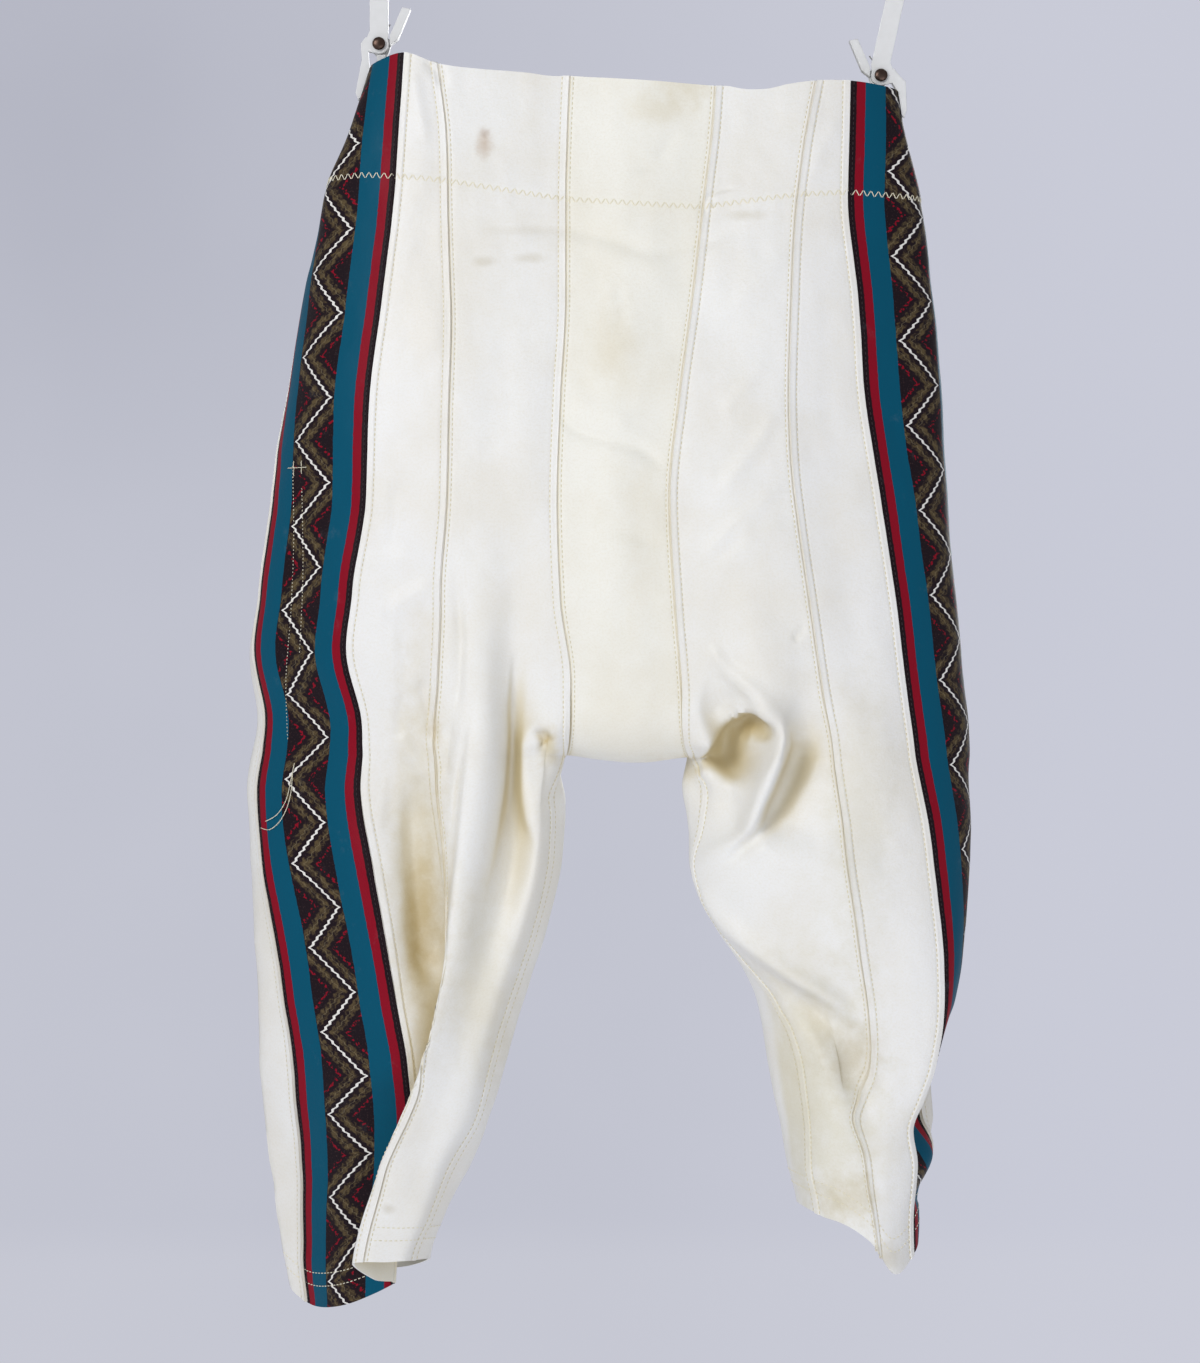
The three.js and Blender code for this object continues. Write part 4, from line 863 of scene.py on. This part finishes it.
# Stains, tone and painted shade on the back: (x, drop, width, height) in mm, a colour, a strength.
STAINS_AND_PAINTED_SHADE = [
    # a brown stain on the waist casing
    ((-84, 196, 5, 8), rgb(196, 164, 132), 0.55),
    ((-84, 190, 3, 3), rgb(170, 136, 104), 0.3),
    # painted shade along the crease line under the casing
    ((-60, 248, 24, 3), rgb(222, 214, 194), 0.2),
    # painted shade in the valley beside the left leg's S-fold
    ((-121, 652, 9, 44), rgb(230, 216, 178), 0.7),
    # a darker patch at the foot of the pucker by the left outer seam
    ((-113, 545, 5, 10), rgb(232, 220, 190), 0.5),
    # painted shade in the hollow under the right knee
    ((133, 740, 18, 20), rgb(222, 214, 198), 0.5),
    # painted shade in the notch under the left crotch's lip
    ((-46, 556, 6, 12), rgb(224, 208, 160), 0.6),
    # creamier tone over the right leg
    ((105, 770, 50, 80), rgb(238, 234, 216), 0.8),
    # painted shade over the left leg's shaded part by the outer seam
    ((-123, 620, 18, 110), rgb(236, 229, 208), 0.7),
    # creamier tone on the right outer panel and the left leg
    ((140, 600, 22, 80), rgb(240, 237, 224), 0.6),
    ((-84, 700, 20, 60), rgb(240, 236, 222), 0.6),
    # painted shade in the right crotch's mouth, under its lip
    ((74, 543, 9, 7), rgb(232, 218, 178), 0.5),
    # thin darker lines below the casing
    ((-84, 267, 7, 3), rgb(214, 205, 182), 0.35),
    ((-56, 265, 10, 3), rgb(214, 205, 182), 0.35),
    ((72, 239, 12, 3), rgb(214, 205, 182), 0.35),
    # darker patches near the waist
    ((36, 160, 16, 12), rgb(226, 216, 190), 0.45),
    ((20, 175, 20, 10), rgb(228, 218, 192), 0.35),
    # painted shadow under the seat's lower edge, at the crotch
    ((20, 570, 12, 8), rgb(224, 210, 180), 0.45),
    # small darker patches
    ((-140, 828, 4, 3), rgb(206, 196, 172), 0.4),
    ((152, 858, 12, 8), rgb(204, 194, 164), 0.5),
    ((132, 822, 18, 14), rgb(226, 216, 186), 0.5),
    ((-6, 320, 14, 26), rgb(226, 216, 190), 0.3),
]


def stained_and_shaded(material, colour, place):
    """Adds the stains, tone and painted shade to a colour; place is the object coordinate."""
    axes = material.add("SeparateXYZ", {0: place})
    blur = material.math("MULTIPLY_ADD", material.noise(place, 110, 3, 0.55), 1.3, -0.65)
    at_back = material.smooth(axes.outputs[1], 0.004, -0.004)
    for (x, drop, width, height), patch_colour, strength in STAINS_AND_PAINTED_SHADE:
        offset_x = material.math("SUBTRACT", axes.outputs[0], x * MM)
        offset_z = material.math("ADD", axes.outputs[2], drop * MM)
        share_x = material.math("DIVIDE", offset_x, width * MM)
        share_z = material.math("DIVIDE", offset_z, height * MM)
        squares = material.math(
            "ADD", material.times(share_x, share_x), material.times(share_z, share_z))
        edge = material.math("ADD", material.math("SQRT", squares), blur)
        factor = material.times(material.smooth(edge, 1.5, 0.0), strength)
        factor = material.times(factor, at_back)
        colour = material.mix(factor, colour, patch_colour, "MULTIPLY")
    return colour


def crumpled(material, place, strength, texture):
    """The bump of a cloth's texture with small random creases of a strength on it."""
    relief = material.math("MULTIPLY_ADD", material.noise(place, 70, 3, 0.6), strength, texture)
    return material.add("Bump", {"Strength": 0.5, "Distance": 0.00016, "Height": relief})


def satin(name, light, mottle_and_fold_shade, roughness=0.42, with_stains_and_shade=True):
    """Stretch satin: fine ribs, soft mottling, and painted shade, yellow-grey in its folds'
    hollows.
    """
    material = Material(name)
    place = material.add("TexCoord").outputs["Object"]
    weave = material.add("UVMap", uv_map="cloth").outputs[0]
    cloudy = material.smooth(material.noise(place, 13, 4, 0.6), 0.35, 0.7)
    # Painted shade in the folds, from ambient occlusion within 35 mm.
    folds = material.add("AmbientOcclusion", {"Distance": 0.035}, samples=8)
    grooves = material.add("AmbientOcclusion", {"Distance": 0.002}, samples=6)
    # The painted shade is held back in tight grooves under about 2 mm.
    depth = material.times(material.smooth(folds.outputs["AO"], 0.88, 0.32),
                           material.smooth(grooves.outputs["AO"], 0.2, 0.9))
    colour = material.mix(material.times(cloudy, 0.19), light, mottle_and_fold_shade)
    specks = material.smooth(material.noise(weave, 0.7, 3, 0.7), 0.4, 0.7)
    colour = material.mix(material.times(specks, 0.12), colour, mottle_and_fold_shade)
    # Mix in the painted fold shade.
    colour = material.mix(material.times(depth, 0.9), colour, mottle_and_fold_shade)
    # stains, tone and painted shade on the back
    if with_stains_and_shade:
        colour = stained_and_shaded(material, colour, place)
    ribs = material.add("TexWave", {"Vector": weave, "Scale": 0.55, "Distortion": 1.5,
                                    "Detail": 2.0}).outputs[1]
    grain = material.noise(weave, 1.1, 2)
    texture = material.math("MULTIPLY_ADD", ribs, 0.35, grain)
    normal = crumpled(material, place, 7.0, texture)
    sheen_spots = material.math("MULTIPLY_ADD", grain, 0.14, roughness - 0.07)
    return material.surface(
        Base_Color=colour, Roughness=sheen_spots, Normal=normal.outputs[0],
        Specular_IOR_Level=0.45, Sheen_Weight=0.12, Sheen_Roughness=0.4)


BLACK = rgb(30, 18, 24)
RED = rgb(138, 12, 34)
TEAL = rgb(2, 82, 108)
PRINT_DARK = rgb(30, 20, 26)
PRINT_OLIVE = rgb(92, 78, 54)
PRINT_WHITE = rgb(236, 234, 228)
# Bands across the stripe, as the distance in mm where each starts.
BANDS = [(0, BLACK), (3.6, RED), (9.4, TEAL), (24, PRINT_DARK), (58, TEAL), (72.6, RED),
         (78.4, BLACK)]
PRINT_MIDDLE = 41
PRINT_HALF = 17
ZIGZAG_PERIOD = 51                # the generic zigzag print: a tooth to each side
ZIGZAG_HALF = 14
ZIGZAG_LINE = 0.95                # half the white line's width
STEP_PERIOD = 3.4                 # its woven-looking steps
STEP_HALF = 0.8
# Bands beside the white line, as distances from it.
OLIVE_FROM = (4.2, 5.2)
OLIVE_TO = (13.5, 12.0)
FLECKS_AT = 18.0
FLECKS_HALF = 1.3
THIN_LINE_AT = 8.6
THIN_LINE_HALF = 0.35


def stripe_cloth():
    """Printed satin: plain bands each side of a generic zigzag print."""
    material = Material("stripe_fabric")
    place = material.add("TexCoord").outputs["Object"]
    cloth = material.add("UVMap", uv_map="cloth").outputs[0]
    axes = material.add("SeparateXYZ", {0: cloth})
    wobble = material.math("MULTIPLY_ADD", material.noise(cloth, 0.35, 2), 0.8, -0.4)
    across = material.math("ADD", axes.outputs[0], wobble)
    down = axes.outputs[1]
    bands = material.ramp(material.math("DIVIDE", across, STRIPE_WIDTH),
                          [(at / STRIPE_WIDTH, colour) for at, colour in BANDS], "CONSTANT")

    def triangle_wave(value, period, size):
        """From -size to size."""
        wave = material.math("PINGPONG", value, period / 2)
        return material.math("MULTIPLY_ADD", wave, 4 * size / period, -size)

    centre = material.math("ADD", triangle_wave(down, ZIGZAG_PERIOD, ZIGZAG_HALF),
                           triangle_wave(down, STEP_PERIOD, STEP_HALF))
    offset = material.math("SUBTRACT", material.math("SUBTRACT", across, PRINT_MIDDLE), centre)
    gap = material.math("ABSOLUTE", offset)
    mottle = material.noise(cloth, 0.8, 4, 0.7)
    olive = material.mix(material.smooth(material.noise(cloth, 0.22, 5, 0.75), 0.4, 0.6),
                         PRINT_OLIVE, PRINT_DARK)
    dark = material.mix(material.smooth(mottle, 0.55, 0.7), PRINT_DARK, rgb(70, 52, 52))
    band = material.times(material.smooth(gap, *OLIVE_FROM), material.smooth(gap, *OLIVE_TO))
    design = material.mix(band, dark, olive)
    flecks = material.times(material.smooth(material.noise(cloth, 0.5, 1), 0.5, 0.56),
                            material.math("COMPARE", gap, FLECKS_AT, FLECKS_HALF))
    design = material.mix(flecks, design, RED)
    from_thin = material.math("ABSOLUTE", material.math("SUBTRACT", gap, THIN_LINE_AT))
    thin = material.math("LESS_THAN", from_thin, THIN_LINE_HALF)
    design = material.mix(material.times(thin, 0.3), design, rgb(150, 138, 108))
    design = material.mix(material.math("LESS_THAN", gap, ZIGZAG_LINE), design, PRINT_WHITE)
    from_middle = material.math("ABSOLUTE", material.math("SUBTRACT", across, PRINT_MIDDLE))
    colour = material.mix(material.math("LESS_THAN", from_middle, PRINT_HALF), bands, design)
    worn = material.smooth(material.noise(place, 60, 4, 0.7), 0.6, 0.8)
    colour = material.mix(material.times(worn, 0.1), colour, rgb(130, 140, 150))
    grain = material.noise(cloth, 1.1, 2)
    normal = crumpled(material, place, 4.0, grain)
    return material.surface(
        Base_Color=colour, Roughness=material.math("MULTIPLY_ADD", grain, 0.15, 0.36),
        Normal=normal.outputs[0], Specular_IOR_Level=0.1)


def plain(name, colour, roughness, metallic=0.0, texture=300, bevel=0.0, clear=0.0, grime=0.22):
    """Moulded plastic, metal or thread, with a little unevenness and rounded edges."""
    material = Material(name)
    place = material.add("TexCoord").outputs["Object"]
    grain = material.noise(place, texture, 3)
    tone = material.mix(material.times(grain, grime), colour, rgb(120, 112, 100))
    normal = material.add("Bump", {"Strength": 0.25, "Distance": 0.0003, "Height": grain})
    if bevel:
        rounded = material.add("Bevel", {"Radius": bevel}, samples=4)
        material.tree.links.new(rounded.outputs[0], normal.inputs["Normal"])
    return material.surface(
        Base_Color=tone, Roughness=material.math("MULTIPLY_ADD", grain, 0.2, roughness - 0.1),
        Metallic=metallic, Normal=normal.outputs[0], Transmission_Weight=clear, IOR=1.45)


# Each satin's second colour is its mottling and its painted fold shade.
WHITE_SATIN = satin("white_satin", rgb(244, 244, 241), rgb(212, 197, 154))
BRIGHT_SATIN = satin("bright_satin", rgb(241, 241, 239), rgb(214, 199, 156), 0.38)
CREAM_SATIN = satin("cream_satin", rgb(247, 246, 237), rgb(212, 196, 152), 0.5)
WRONG_SIDE = satin("wrong_side", rgb(234, 231, 218), rgb(224, 210, 166), 0.65, False)
STRIPE = stripe_cloth()
STRIPE_INSIDE = plain("stripe_wrong_side", rgb(170, 174, 172), 0.7)
THREAD = plain("thread", rgb(228, 219, 188), 0.6, texture=900, grime=0.12)
WHITE_THREAD = plain("white_thread", rgb(238, 232, 208), 0.6, texture=900, grime=0.05)
DARK_THREAD = plain("dark_thread", rgb(44, 30, 36), 0.6, texture=900, grime=0.1)
PLASTIC = plain("clip_plastic", rgb(240, 241, 241), 0.32, bevel=0.0005, clear=0.12, grime=0.1)
RIVET = plain("rivet_metal", rgb(70, 52, 46), 0.32, metallic=0.9, texture=500)
SPRING = plain("spring_wire", rgb(176, 176, 172), 0.3, metallic=1.0, texture=700)


# ---------------------------------------------------------------- cloth pieces
def new_object(name, data):
    made = bpy.data.objects.new(name, data)
    bpy.context.scene.collection.objects.link(made)
    return made


def new_mesh(name, points, faces, materials):
    """A smooth mesh from points in mm."""
    data = bpy.data.meshes.new(name)
    faces = faces.tolist() if isinstance(faces, np.ndarray) else faces
    data.from_pydata((np.asarray(points) * MM).tolist(), [], faces)
    for material in materials:
        data.materials.append(material)
    data.shade_smooth()
    return new_object(name, data)


LAYER = 0.8                       # the shell's thickness
TURNED = 1.6                      # and where the cloth is turned in


def quads(rows, columns, start, flip):
    r, c = np.meshgrid(np.arange(rows - 1), np.arange(columns - 1), indexing='ij')
    corner = (start + r * columns + c).ravel()
    around = [corner, corner + 1, corner + columns + 1, corner + columns]
    return np.stack(around[::-1] if flip else around, axis=1)


def rim(first, second, flip):
    """Faces between two matching lines of points."""
    around = [first[:-1], first[1:], second[1:], second[:-1]]
    return np.stack(around[::-1] if flip else around, axis=1)


def shell(panel, levels, outside, inside):
    rows, columns = panel.points.shape[:2]
    turned = (levels < WAIST_LEVEL + CASING_TURN) | (levels > HEM_LEVEL - HEM_TURN)
    thickness = np.where(turned, TURNED, LAYER)[:, None, None]
    points = np.concatenate([panel.points, panel.points - panel.out * thickness])
    index = np.arange(2 * rows * columns).reshape(2, rows, columns)
    flip = panel.turn < 0
    outer_faces = quads(rows, columns, 0, flip)
    inner_faces = quads(rows, columns, rows * columns, not flip)
    faces = np.vstack([
        outer_faces, inner_faces,
        rim(index[0, 0], index[1, 0], not flip), rim(index[0, -1], index[1, -1], flip),
        rim(index[0, :, 0], index[1, :, 0], flip),
        rim(index[0, :, -1], index[1, :, -1], not flip)])
    piece = new_mesh(f"cloth_{panel.name}", points.reshape(-1, 3), faces, [outside, inside])
    data = piece.data
    slots = np.zeros(len(faces), int)
    slots[len(outer_faces):len(outer_faces) + len(inner_faces)] = 1
    data.polygons.foreach_set("material_index", slots)
    across = np.broadcast_to(panel.lengths, (2, rows, columns)).reshape(-1)
    down = np.broadcast_to(panel.along[:, None], (2, rows, columns)).reshape(-1)
    corners = np.empty(len(data.loops), int)
    data.loops.foreach_get("vertex_index", corners)
    layer = data.uv_layers.new(name="cloth")
    layer.data.foreach_set("uv", np.stack([across[corners], down[corners]], 1).ravel())
    data.set_sharp_from_angle(angle=math.radians(60))
    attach(piece, "root")
    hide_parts(panel.name)
    return piece


# ---------------------------------------------------------------- sewing
THREAD_SIDES = 5
THREAD_RADIUS = 0.26
# One stitch's arch: share of its length and height over the cloth.
ARCH = [(0.0, -0.25), (0.2, 0.16), (0.8, 0.16), (1.0, -0.25)]


def thread_piece(name, bits, radius, material):
    """Arched bits of thread as one mesh. bits is a list of (starts, ends, outs) arrays."""
    starts, ends, outs = (np.vstack([bit[k] for bit in bits]) for k in range(3))
    along = unit(ends - starts)
    side = unit(np.cross(along, outs))
    up = np.cross(side, along)
    angles = 2 * np.pi * np.arange(THREAD_SIDES) / THREAD_SIDES
    rings = []
    for share, height in ARCH:
        middle = starts + (ends - starts) * share + outs * height
        rings.append(middle[:, None] + radius * (
            side[:, None] * np.cos(angles)[None, :, None]
            + up[:, None] * np.sin(angles)[None, :, None]))
    points = np.stack(rings, axis=1)
    count = len(starts)
    ring = np.arange(THREAD_SIDES)
    after = (ring + 1) % THREAD_SIDES
    faces = []
    for k in range(len(ARCH) - 1):
        low = (np.arange(count) * len(ARCH) + k)[:, None] * THREAD_SIDES
        high = low + THREAD_SIDES
        faces.append(np.stack([low + ring, low + after, high + after, high + ring], 2)
                     .reshape(-1, 4))
    piece = new_mesh(name, points.reshape(-1, 3), np.vstack(faces), [material])
    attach(piece, "root")
    return piece


def spaced(line, outs, spacing):
    """Points at even cloth lengths along a line, with their directions out."""
    lengths = lengths_along(line)
    count = max(2, int(lengths[-1] / spacing))
    at = np.linspace(0, lengths[-1], count + 1)
    return points_at(at, lengths, line), unit(points_at(at, lengths, outs))


def row_of_stitches(line, pitch=3.0, gap=1.2):
    points, outs = spaced(*line, pitch)
    way = unit(points[1:] - points[:-1])
    return points[:-1] + way * gap / 2, points[1:] - way * gap / 2, outs[:-1]


def zigzag(line, half_width=2.0, pitch=2.5):
    points, outs = spaced(*line, pitch)
    way = np.gradient(points, axis=0)
    across = unit(np.cross(outs, way))
    turns = np.where(np.arange(len(points)) % 2 == 0, 1.0, -1.0)[:, None]
    corners = points + across * turns * half_width
    return corners[:-1], corners[1:], outs[:-1]


SIDES = ('left', 'right')
LEVEL_ARRAY = np.array(LEVELS)


def panel_levels(name):
    if name == 'centre_panel_back':
        return np.array([LEVELS[r] for r, _ in DOWN_THE_BACK + UP_THE_FRONT])
    if name == 'centre_panel_front':
        return LEVEL_ARRAY[:RISE_ROW + 1]
    return LEVEL_ARRAY


def make_cloth():
    """All the panels; returns the pieces by the name of the node that each stands for."""
    looks = {
        'back_inner': (WHITE_SATIN, WRONG_SIDE, "white_satin"),
        'back_outer': (BRIGHT_SATIN, WRONG_SIDE, "white_satin"),
        'side_stripe': (STRIPE, STRIPE_INSIDE, "stripe_fabric"),
        'front': (WHITE_SATIN, WRONG_SIDE, "white_satin"),
        'centre_panel': (CREAM_SATIN, WRONG_SIDE, "cream_satin"),
    }
    pieces = {}
    for name, panel in PANELS.items():
        outside, inside, slot = looks[name.rsplit('_', 1)[0]]
        pieces[name] = shell(panel, panel_levels(name), outside, inside)
    return pieces


def seam_stitches(side):
    """Two rows along each seam of a half: felled side and flat side."""
    rows = [
        (f'back_inner_{side}', FELL_ROW, False),
        (f'back_inner_{side}', FLAT_ROW, True),
        (f'back_outer_{side}', FELL_ROW, False),
        (f'back_outer_{side}', FELL_ROW, True),
        (f'front_{side}', FELL_ROW, False),
        (f'front_{side}', FLAT_ROW, True),
        ('centre_panel_back', FLAT_ROW, side == 'right'),
        ('centre_panel_front', FELL_ROW, side == 'right'),
    ]
    return [row_of_stitches(PANELS[name].down_line(row, far)) for name, row, far in rows]


def stripe_stitches(side):
    """The row on the stripe's side of its two seams, in dark thread."""
    stripe = PANELS[f'side_stripe_{side}']
    return [row_of_stitches(stripe.down_line(FLAT_ROW, far)) for far in (False, True)]


def casing_stitches():
    """Zigzag that holds the waist casing, round every panel."""
    return [zigzag(panel.casing_line()) for panel in PANELS.values()]


HEM_ROWS = (13, 21)               # above the leg's edge


def hem_stitches(side):
    names = ('back_inner', 'back_outer', 'side_stripe', 'front')
    return [row_of_stitches(PANELS[f'{name}_{side}'].hem_line(height))
            for name in names for height in HEM_ROWS]


def on_cloth(panel, route, lift=0.4):
    """Points on a panel's back-facing side at (x, drop) places, with the directions out."""
    points = panel.points.reshape(-1, 3)
    outs = panel.out.reshape(-1, 3)
    facing = outs[:, 1] < 0
    points = points[facing]
    outs = outs[facing]
    places = smooth_path([(x, 0, drop) for x, drop in route], 8)
    found = [int(np.argmin((points[:, 0] - x) ** 2 + (points[:, 2] + drop) ** 2))
             for x, _, drop in places]
    return (np.stack([places[:, 0], points[found, 1], -places[:, 2]], 1) + outs[found] * lift,
            outs[found])


# Sewing marks and loose threads on the left stripe, as (x, drop) in mm.
OLD_SEAMS = [
    [(-200, 386), (-199, 430), (-201, 480), (-204, 520), (-203, 552)],
    [(-194, 400), (-193, 450), (-195, 500)],
]
BAR_TACK = [[(-203, 388), (-191, 388)], [(-199, 384), (-199, 393)], [(-194, 384), (-194, 392)]]
LOOSE_THREADS = [
    [(-219, 605), (-214, 606), (-208, 602), (-203, 594), (-200, 584), (-199, 572)],
    [(-216, 601), (-209, 597), (-203, 588), (-200, 576), (-198, 566)],
]


def stripe_threads():
    stripe = PANELS['side_stripe_left']
    marks = [row_of_stitches(on_cloth(stripe, route, 0.15), 2.2, 1.3) for route in OLD_SEAMS]
    marks += [row_of_stitches(on_cloth(stripe, route, 0.5), 4, 0.0) for route in BAR_TACK]
    loose = [row_of_stitches(on_cloth(stripe, route, 0.9), 1.0, -0.35)
             for route in LOOSE_THREADS]
    return marks, loose


def make_sewing():
    """Thread pieces, by the name of the panel that each goes with."""
    pieces = {}
    for side in SIDES:
        for panel, name, rows, material in (
                ('back_inner', 'seam_stitches', seam_stitches(side), THREAD),
                ('front', 'hem_stitches', hem_stitches(side), WHITE_THREAD),
                ('side_stripe', 'stripe_stitches', stripe_stitches(side), DARK_THREAD)):
            pieces[f'{panel}_{side}'] = [
                thread_piece(f'{name}_{side}', rows, THREAD_RADIUS, material)]
    pieces['centre_panel_back'] = [
        thread_piece('casing_zigzag', casing_stitches(), 0.28, WHITE_THREAD)]
    marks, loose = stripe_threads()
    pieces['side_stripe_left'] += [
        thread_piece('stripe_marks', marks, 0.22, WHITE_THREAD),
        thread_piece('loose_threads', loose, 0.2, WHITE_THREAD)]
    return pieces


# ---------------------------------------------------------------- hanger
def dress_hanger():
    """The moulded parts keep their solids, with plastic and metal on them."""
    for name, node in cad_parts.items():
        if name.startswith(("hanger", "clip")):
            material = RIVET if name.startswith("clip_pin") else PLASTIC
            node.data.materials.clear()
            node.data.materials.append(material)


RIVET_HEAD = 3.9                  # radius of the domed head on a clip's pin, in mm
RIVET_RISE = 1.3                  # and its height
HEAD_RINGS = 8
HEAD_SIDES = 32


def pin_place(side):
    """The lower corner and the middle of a clip's pin, in mm."""
    low, high = (np.array(corner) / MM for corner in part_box(f'clip_pin_{side}'))
    return low, (low + high) / 2


def rivet_head(side):
    """Domed head over the end of a clip's pin that faces the viewer."""
    low, middle = pin_place(side)
    around = 2 * np.pi * np.arange(HEAD_SIDES) / HEAD_SIDES
    points = [(middle[0], low[1] - RIVET_RISE, middle[2])]
    for ring in range(1, HEAD_RINGS + 1):
        tilt = math.pi / 2 * ring / HEAD_RINGS
        rise = RIVET_RISE * math.cos(tilt)
        radius = RIVET_HEAD * math.sin(tilt)
        points += [
            (middle[0] + radius * math.cos(a), low[1] - rise, middle[2] + radius * math.sin(a))
            for a in around]
    after = [(k + 1) % HEAD_SIDES for k in range(HEAD_SIDES)]
    faces = [(0, 1 + k, 1 + after[k]) for k in range(HEAD_SIDES)]
    for ring in range(HEAD_RINGS - 1):
        inner = 1 + ring * HEAD_SIDES
        outer = inner + HEAD_SIDES
        faces += [(inner + k, outer + k, outer + after[k], inner + after[k])
                  for k in range(HEAD_SIDES)]
    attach(new_mesh(f"rivet_head_{side}", points, faces, [RIVET]), "root")


SPRING_WIRE = 0.45
SPRING_RADIUS = 3.4
SPRING_TURNS = 2.5
SPRING_LEG = 13
SPRING_START = 5.4                # from the pin's middle, away from the viewer
SPRING_RISE = 0.9 * SPRING_WIRE / math.pi


def clip_spring(side):
    """Coil spring round a clip's pin, with a leg against each arm."""
    centre = pin_place(side)[1]
    outward = -1 if side == 'left' else 1
    turns = np.linspace(0, 2 * math.pi * SPRING_TURNS, 60)
    coil = np.stack([
        centre[0] + outward * SPRING_RADIUS * np.cos(turns),
        centre[1] + SPRING_START + SPRING_RISE * turns,
        centre[2] + SPRING_RADIUS * np.sin(turns)], axis=1)
    inner_leg = coil[0] + np.array([-outward * SPRING_LEG * 0.75, 0, SPRING_LEG])
    outer_leg = coil[-1] + np.array([outward * 1.5, 0, SPRING_LEG])
    path = np.vstack([inner_leg, coil, outer_leg])
    curve = bpy.data.curves.new(f"clip_spring_{side}", 'CURVE')
    curve.dimensions = '3D'
    spline = curve.splines.new('POLY')
    spline.points.add(len(path) - 1)
    spline.points.foreach_set("co", np.hstack([path * MM, np.ones((len(path), 1))]).ravel())
    curve.bevel_depth = SPRING_WIRE * MM
    curve.bevel_resolution = 2
    curve.materials.append(SPRING)
    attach(new_object(f"clip_spring_{side}", curve), "root")


# ---------------------------------------------------------------- camera, floor and light
CAMERA_AWAY = 2.5                 # in metres, as the lights' places
CAMERA_X = -0.015
CAMERA_DROP = 0.5166
LENS = 110


def add_camera():
    data = bpy.data.cameras.new("camera")
    data.lens = LENS
    data.sensor_width = 36
    data.clip_end = 50
    camera = new_object("camera", data)
    camera.location = (CAMERA_X, -CAMERA_AWAY, -CAMERA_DROP)
    camera.rotation_euler = (math.pi / 2, 0, 0)
    bpy.context.scene.camera = camera


def add_light(name, place, size, power, colour):
    data = bpy.data.lights.new(name, 'AREA')
    data.size = size
    data.energy = power
    data.color = colour
    light = new_object(name, data)
    light.location = place
    x, y, z = np.array([0.0, 0.0, -CAMERA_DROP]) - np.array(place)
    light.rotation_euler = (
        math.atan2(math.hypot(x, y), -z), 0, math.atan2(y, x) - math.pi / 2)
    light.visible_camera = False


FLOOR_LEVEL = -1650               # in mm; below the frame
FLOOR_HALF = 3800
FLOOR_GLOW = 0.85                 # keeps it pale where no light reaches


def add_floor():
    """A plain pale floor, evenly bright."""
    material = Material("floor")
    place = material.add("TexCoord").outputs["Object"]
    cloudy = material.noise(place, 1.4, 3)
    colour = material.mix(cloudy, rgb(206, 207, 216), rgb(200, 202, 211))
    look = material.surface(
        Base_Color=rgb(110, 111, 115), Roughness=0.9, Specular_IOR_Level=0.1,
        Emission_Color=colour, Emission_Strength=FLOOR_GLOW)
    corners = [(x * FLOOR_HALF, y * FLOOR_HALF, FLOOR_LEVEL)
               for x, y in ((-1, -1), (1, -1), (1, 1), (-1, 1))]
    new_mesh("floor", corners, [(0, 1, 2, 3)], [look])


WORLD_LIGHT = 0.41


def add_world():
    """Even light, and a pale lavender grey behind the object with painted light and shade on it.
    """
    world = bpy.data.worlds.new("world")
    world.use_nodes = True
    sky = Material.of_tree(world.node_tree)
    way = sky.add("TexCoord").outputs["Generated"]
    axes = sky.add("SeparateXYZ", {0: way})
    # Painted light and shade on the backdrop: lighter to the right and low down, darker towards
    # the top left.
    right = sky.smooth(axes.outputs[0], -0.02, 0.12)
    left = sky.smooth(axes.outputs[0], 0.02, -0.14)
    high = sky.smooth(axes.outputs[2], 0.0, 0.15)
    low = sky.smooth(axes.outputs[2], -0.125, -0.14)
    colour = sky.mix(sky.times(right, 0.7), rgb(193, 195, 207), rgb(203, 205, 218))
    colour = sky.mix(sky.times(left, high), colour, rgb(177, 179, 192))
    colour = sky.mix(sky.times(low, 0.3), colour, rgb(208, 209, 218))
    # Painted light: soft lighter waves, as on a wrinkled backdrop.
    waves = sky.smooth(sky.noise(way, 9, 3), 0.3, 0.7)
    colour = sky.mix(sky.times(waves, 0.16), colour, rgb(208, 209, 220))
    seen = sky.add("Background", {"Color": colour, "Strength": 1.0})
    lit = sky.add("Background", {"Color": (0.93, 0.94, 1.0, 1.0), "Strength": WORLD_LIGHT})
    rays = sky.add("LightPath").outputs["Is Camera Ray"]
    shader = sky.add("MixShader", {0: rays, 1: lit.outputs[0], 2: seen.outputs[0]})
    sky.add("OutputWorld", {"Surface": shader.outputs[0]})
    bpy.context.scene.world = world


add_camera()
add_world()
add_floor()
add_light("key", (-1.3, -2.0, 0.4), 0.9, 25, (1.0, 0.99, 0.97))
add_light("fill", (0.6, -2.0, -1.35), 1.6, 15.5, (0.97, 0.98, 1.0))
add_light("back", (0.7, 2.4, 0.3), 1.6, 26, (0.98, 0.99, 1.0))
bpy.context.scene.view_settings.view_transform = 'Standard'

cloth = make_cloth()
sewing = make_sewing()
dress_hanger()
for side in SIDES:
    rivet_head(side)
    clip_spring(side)
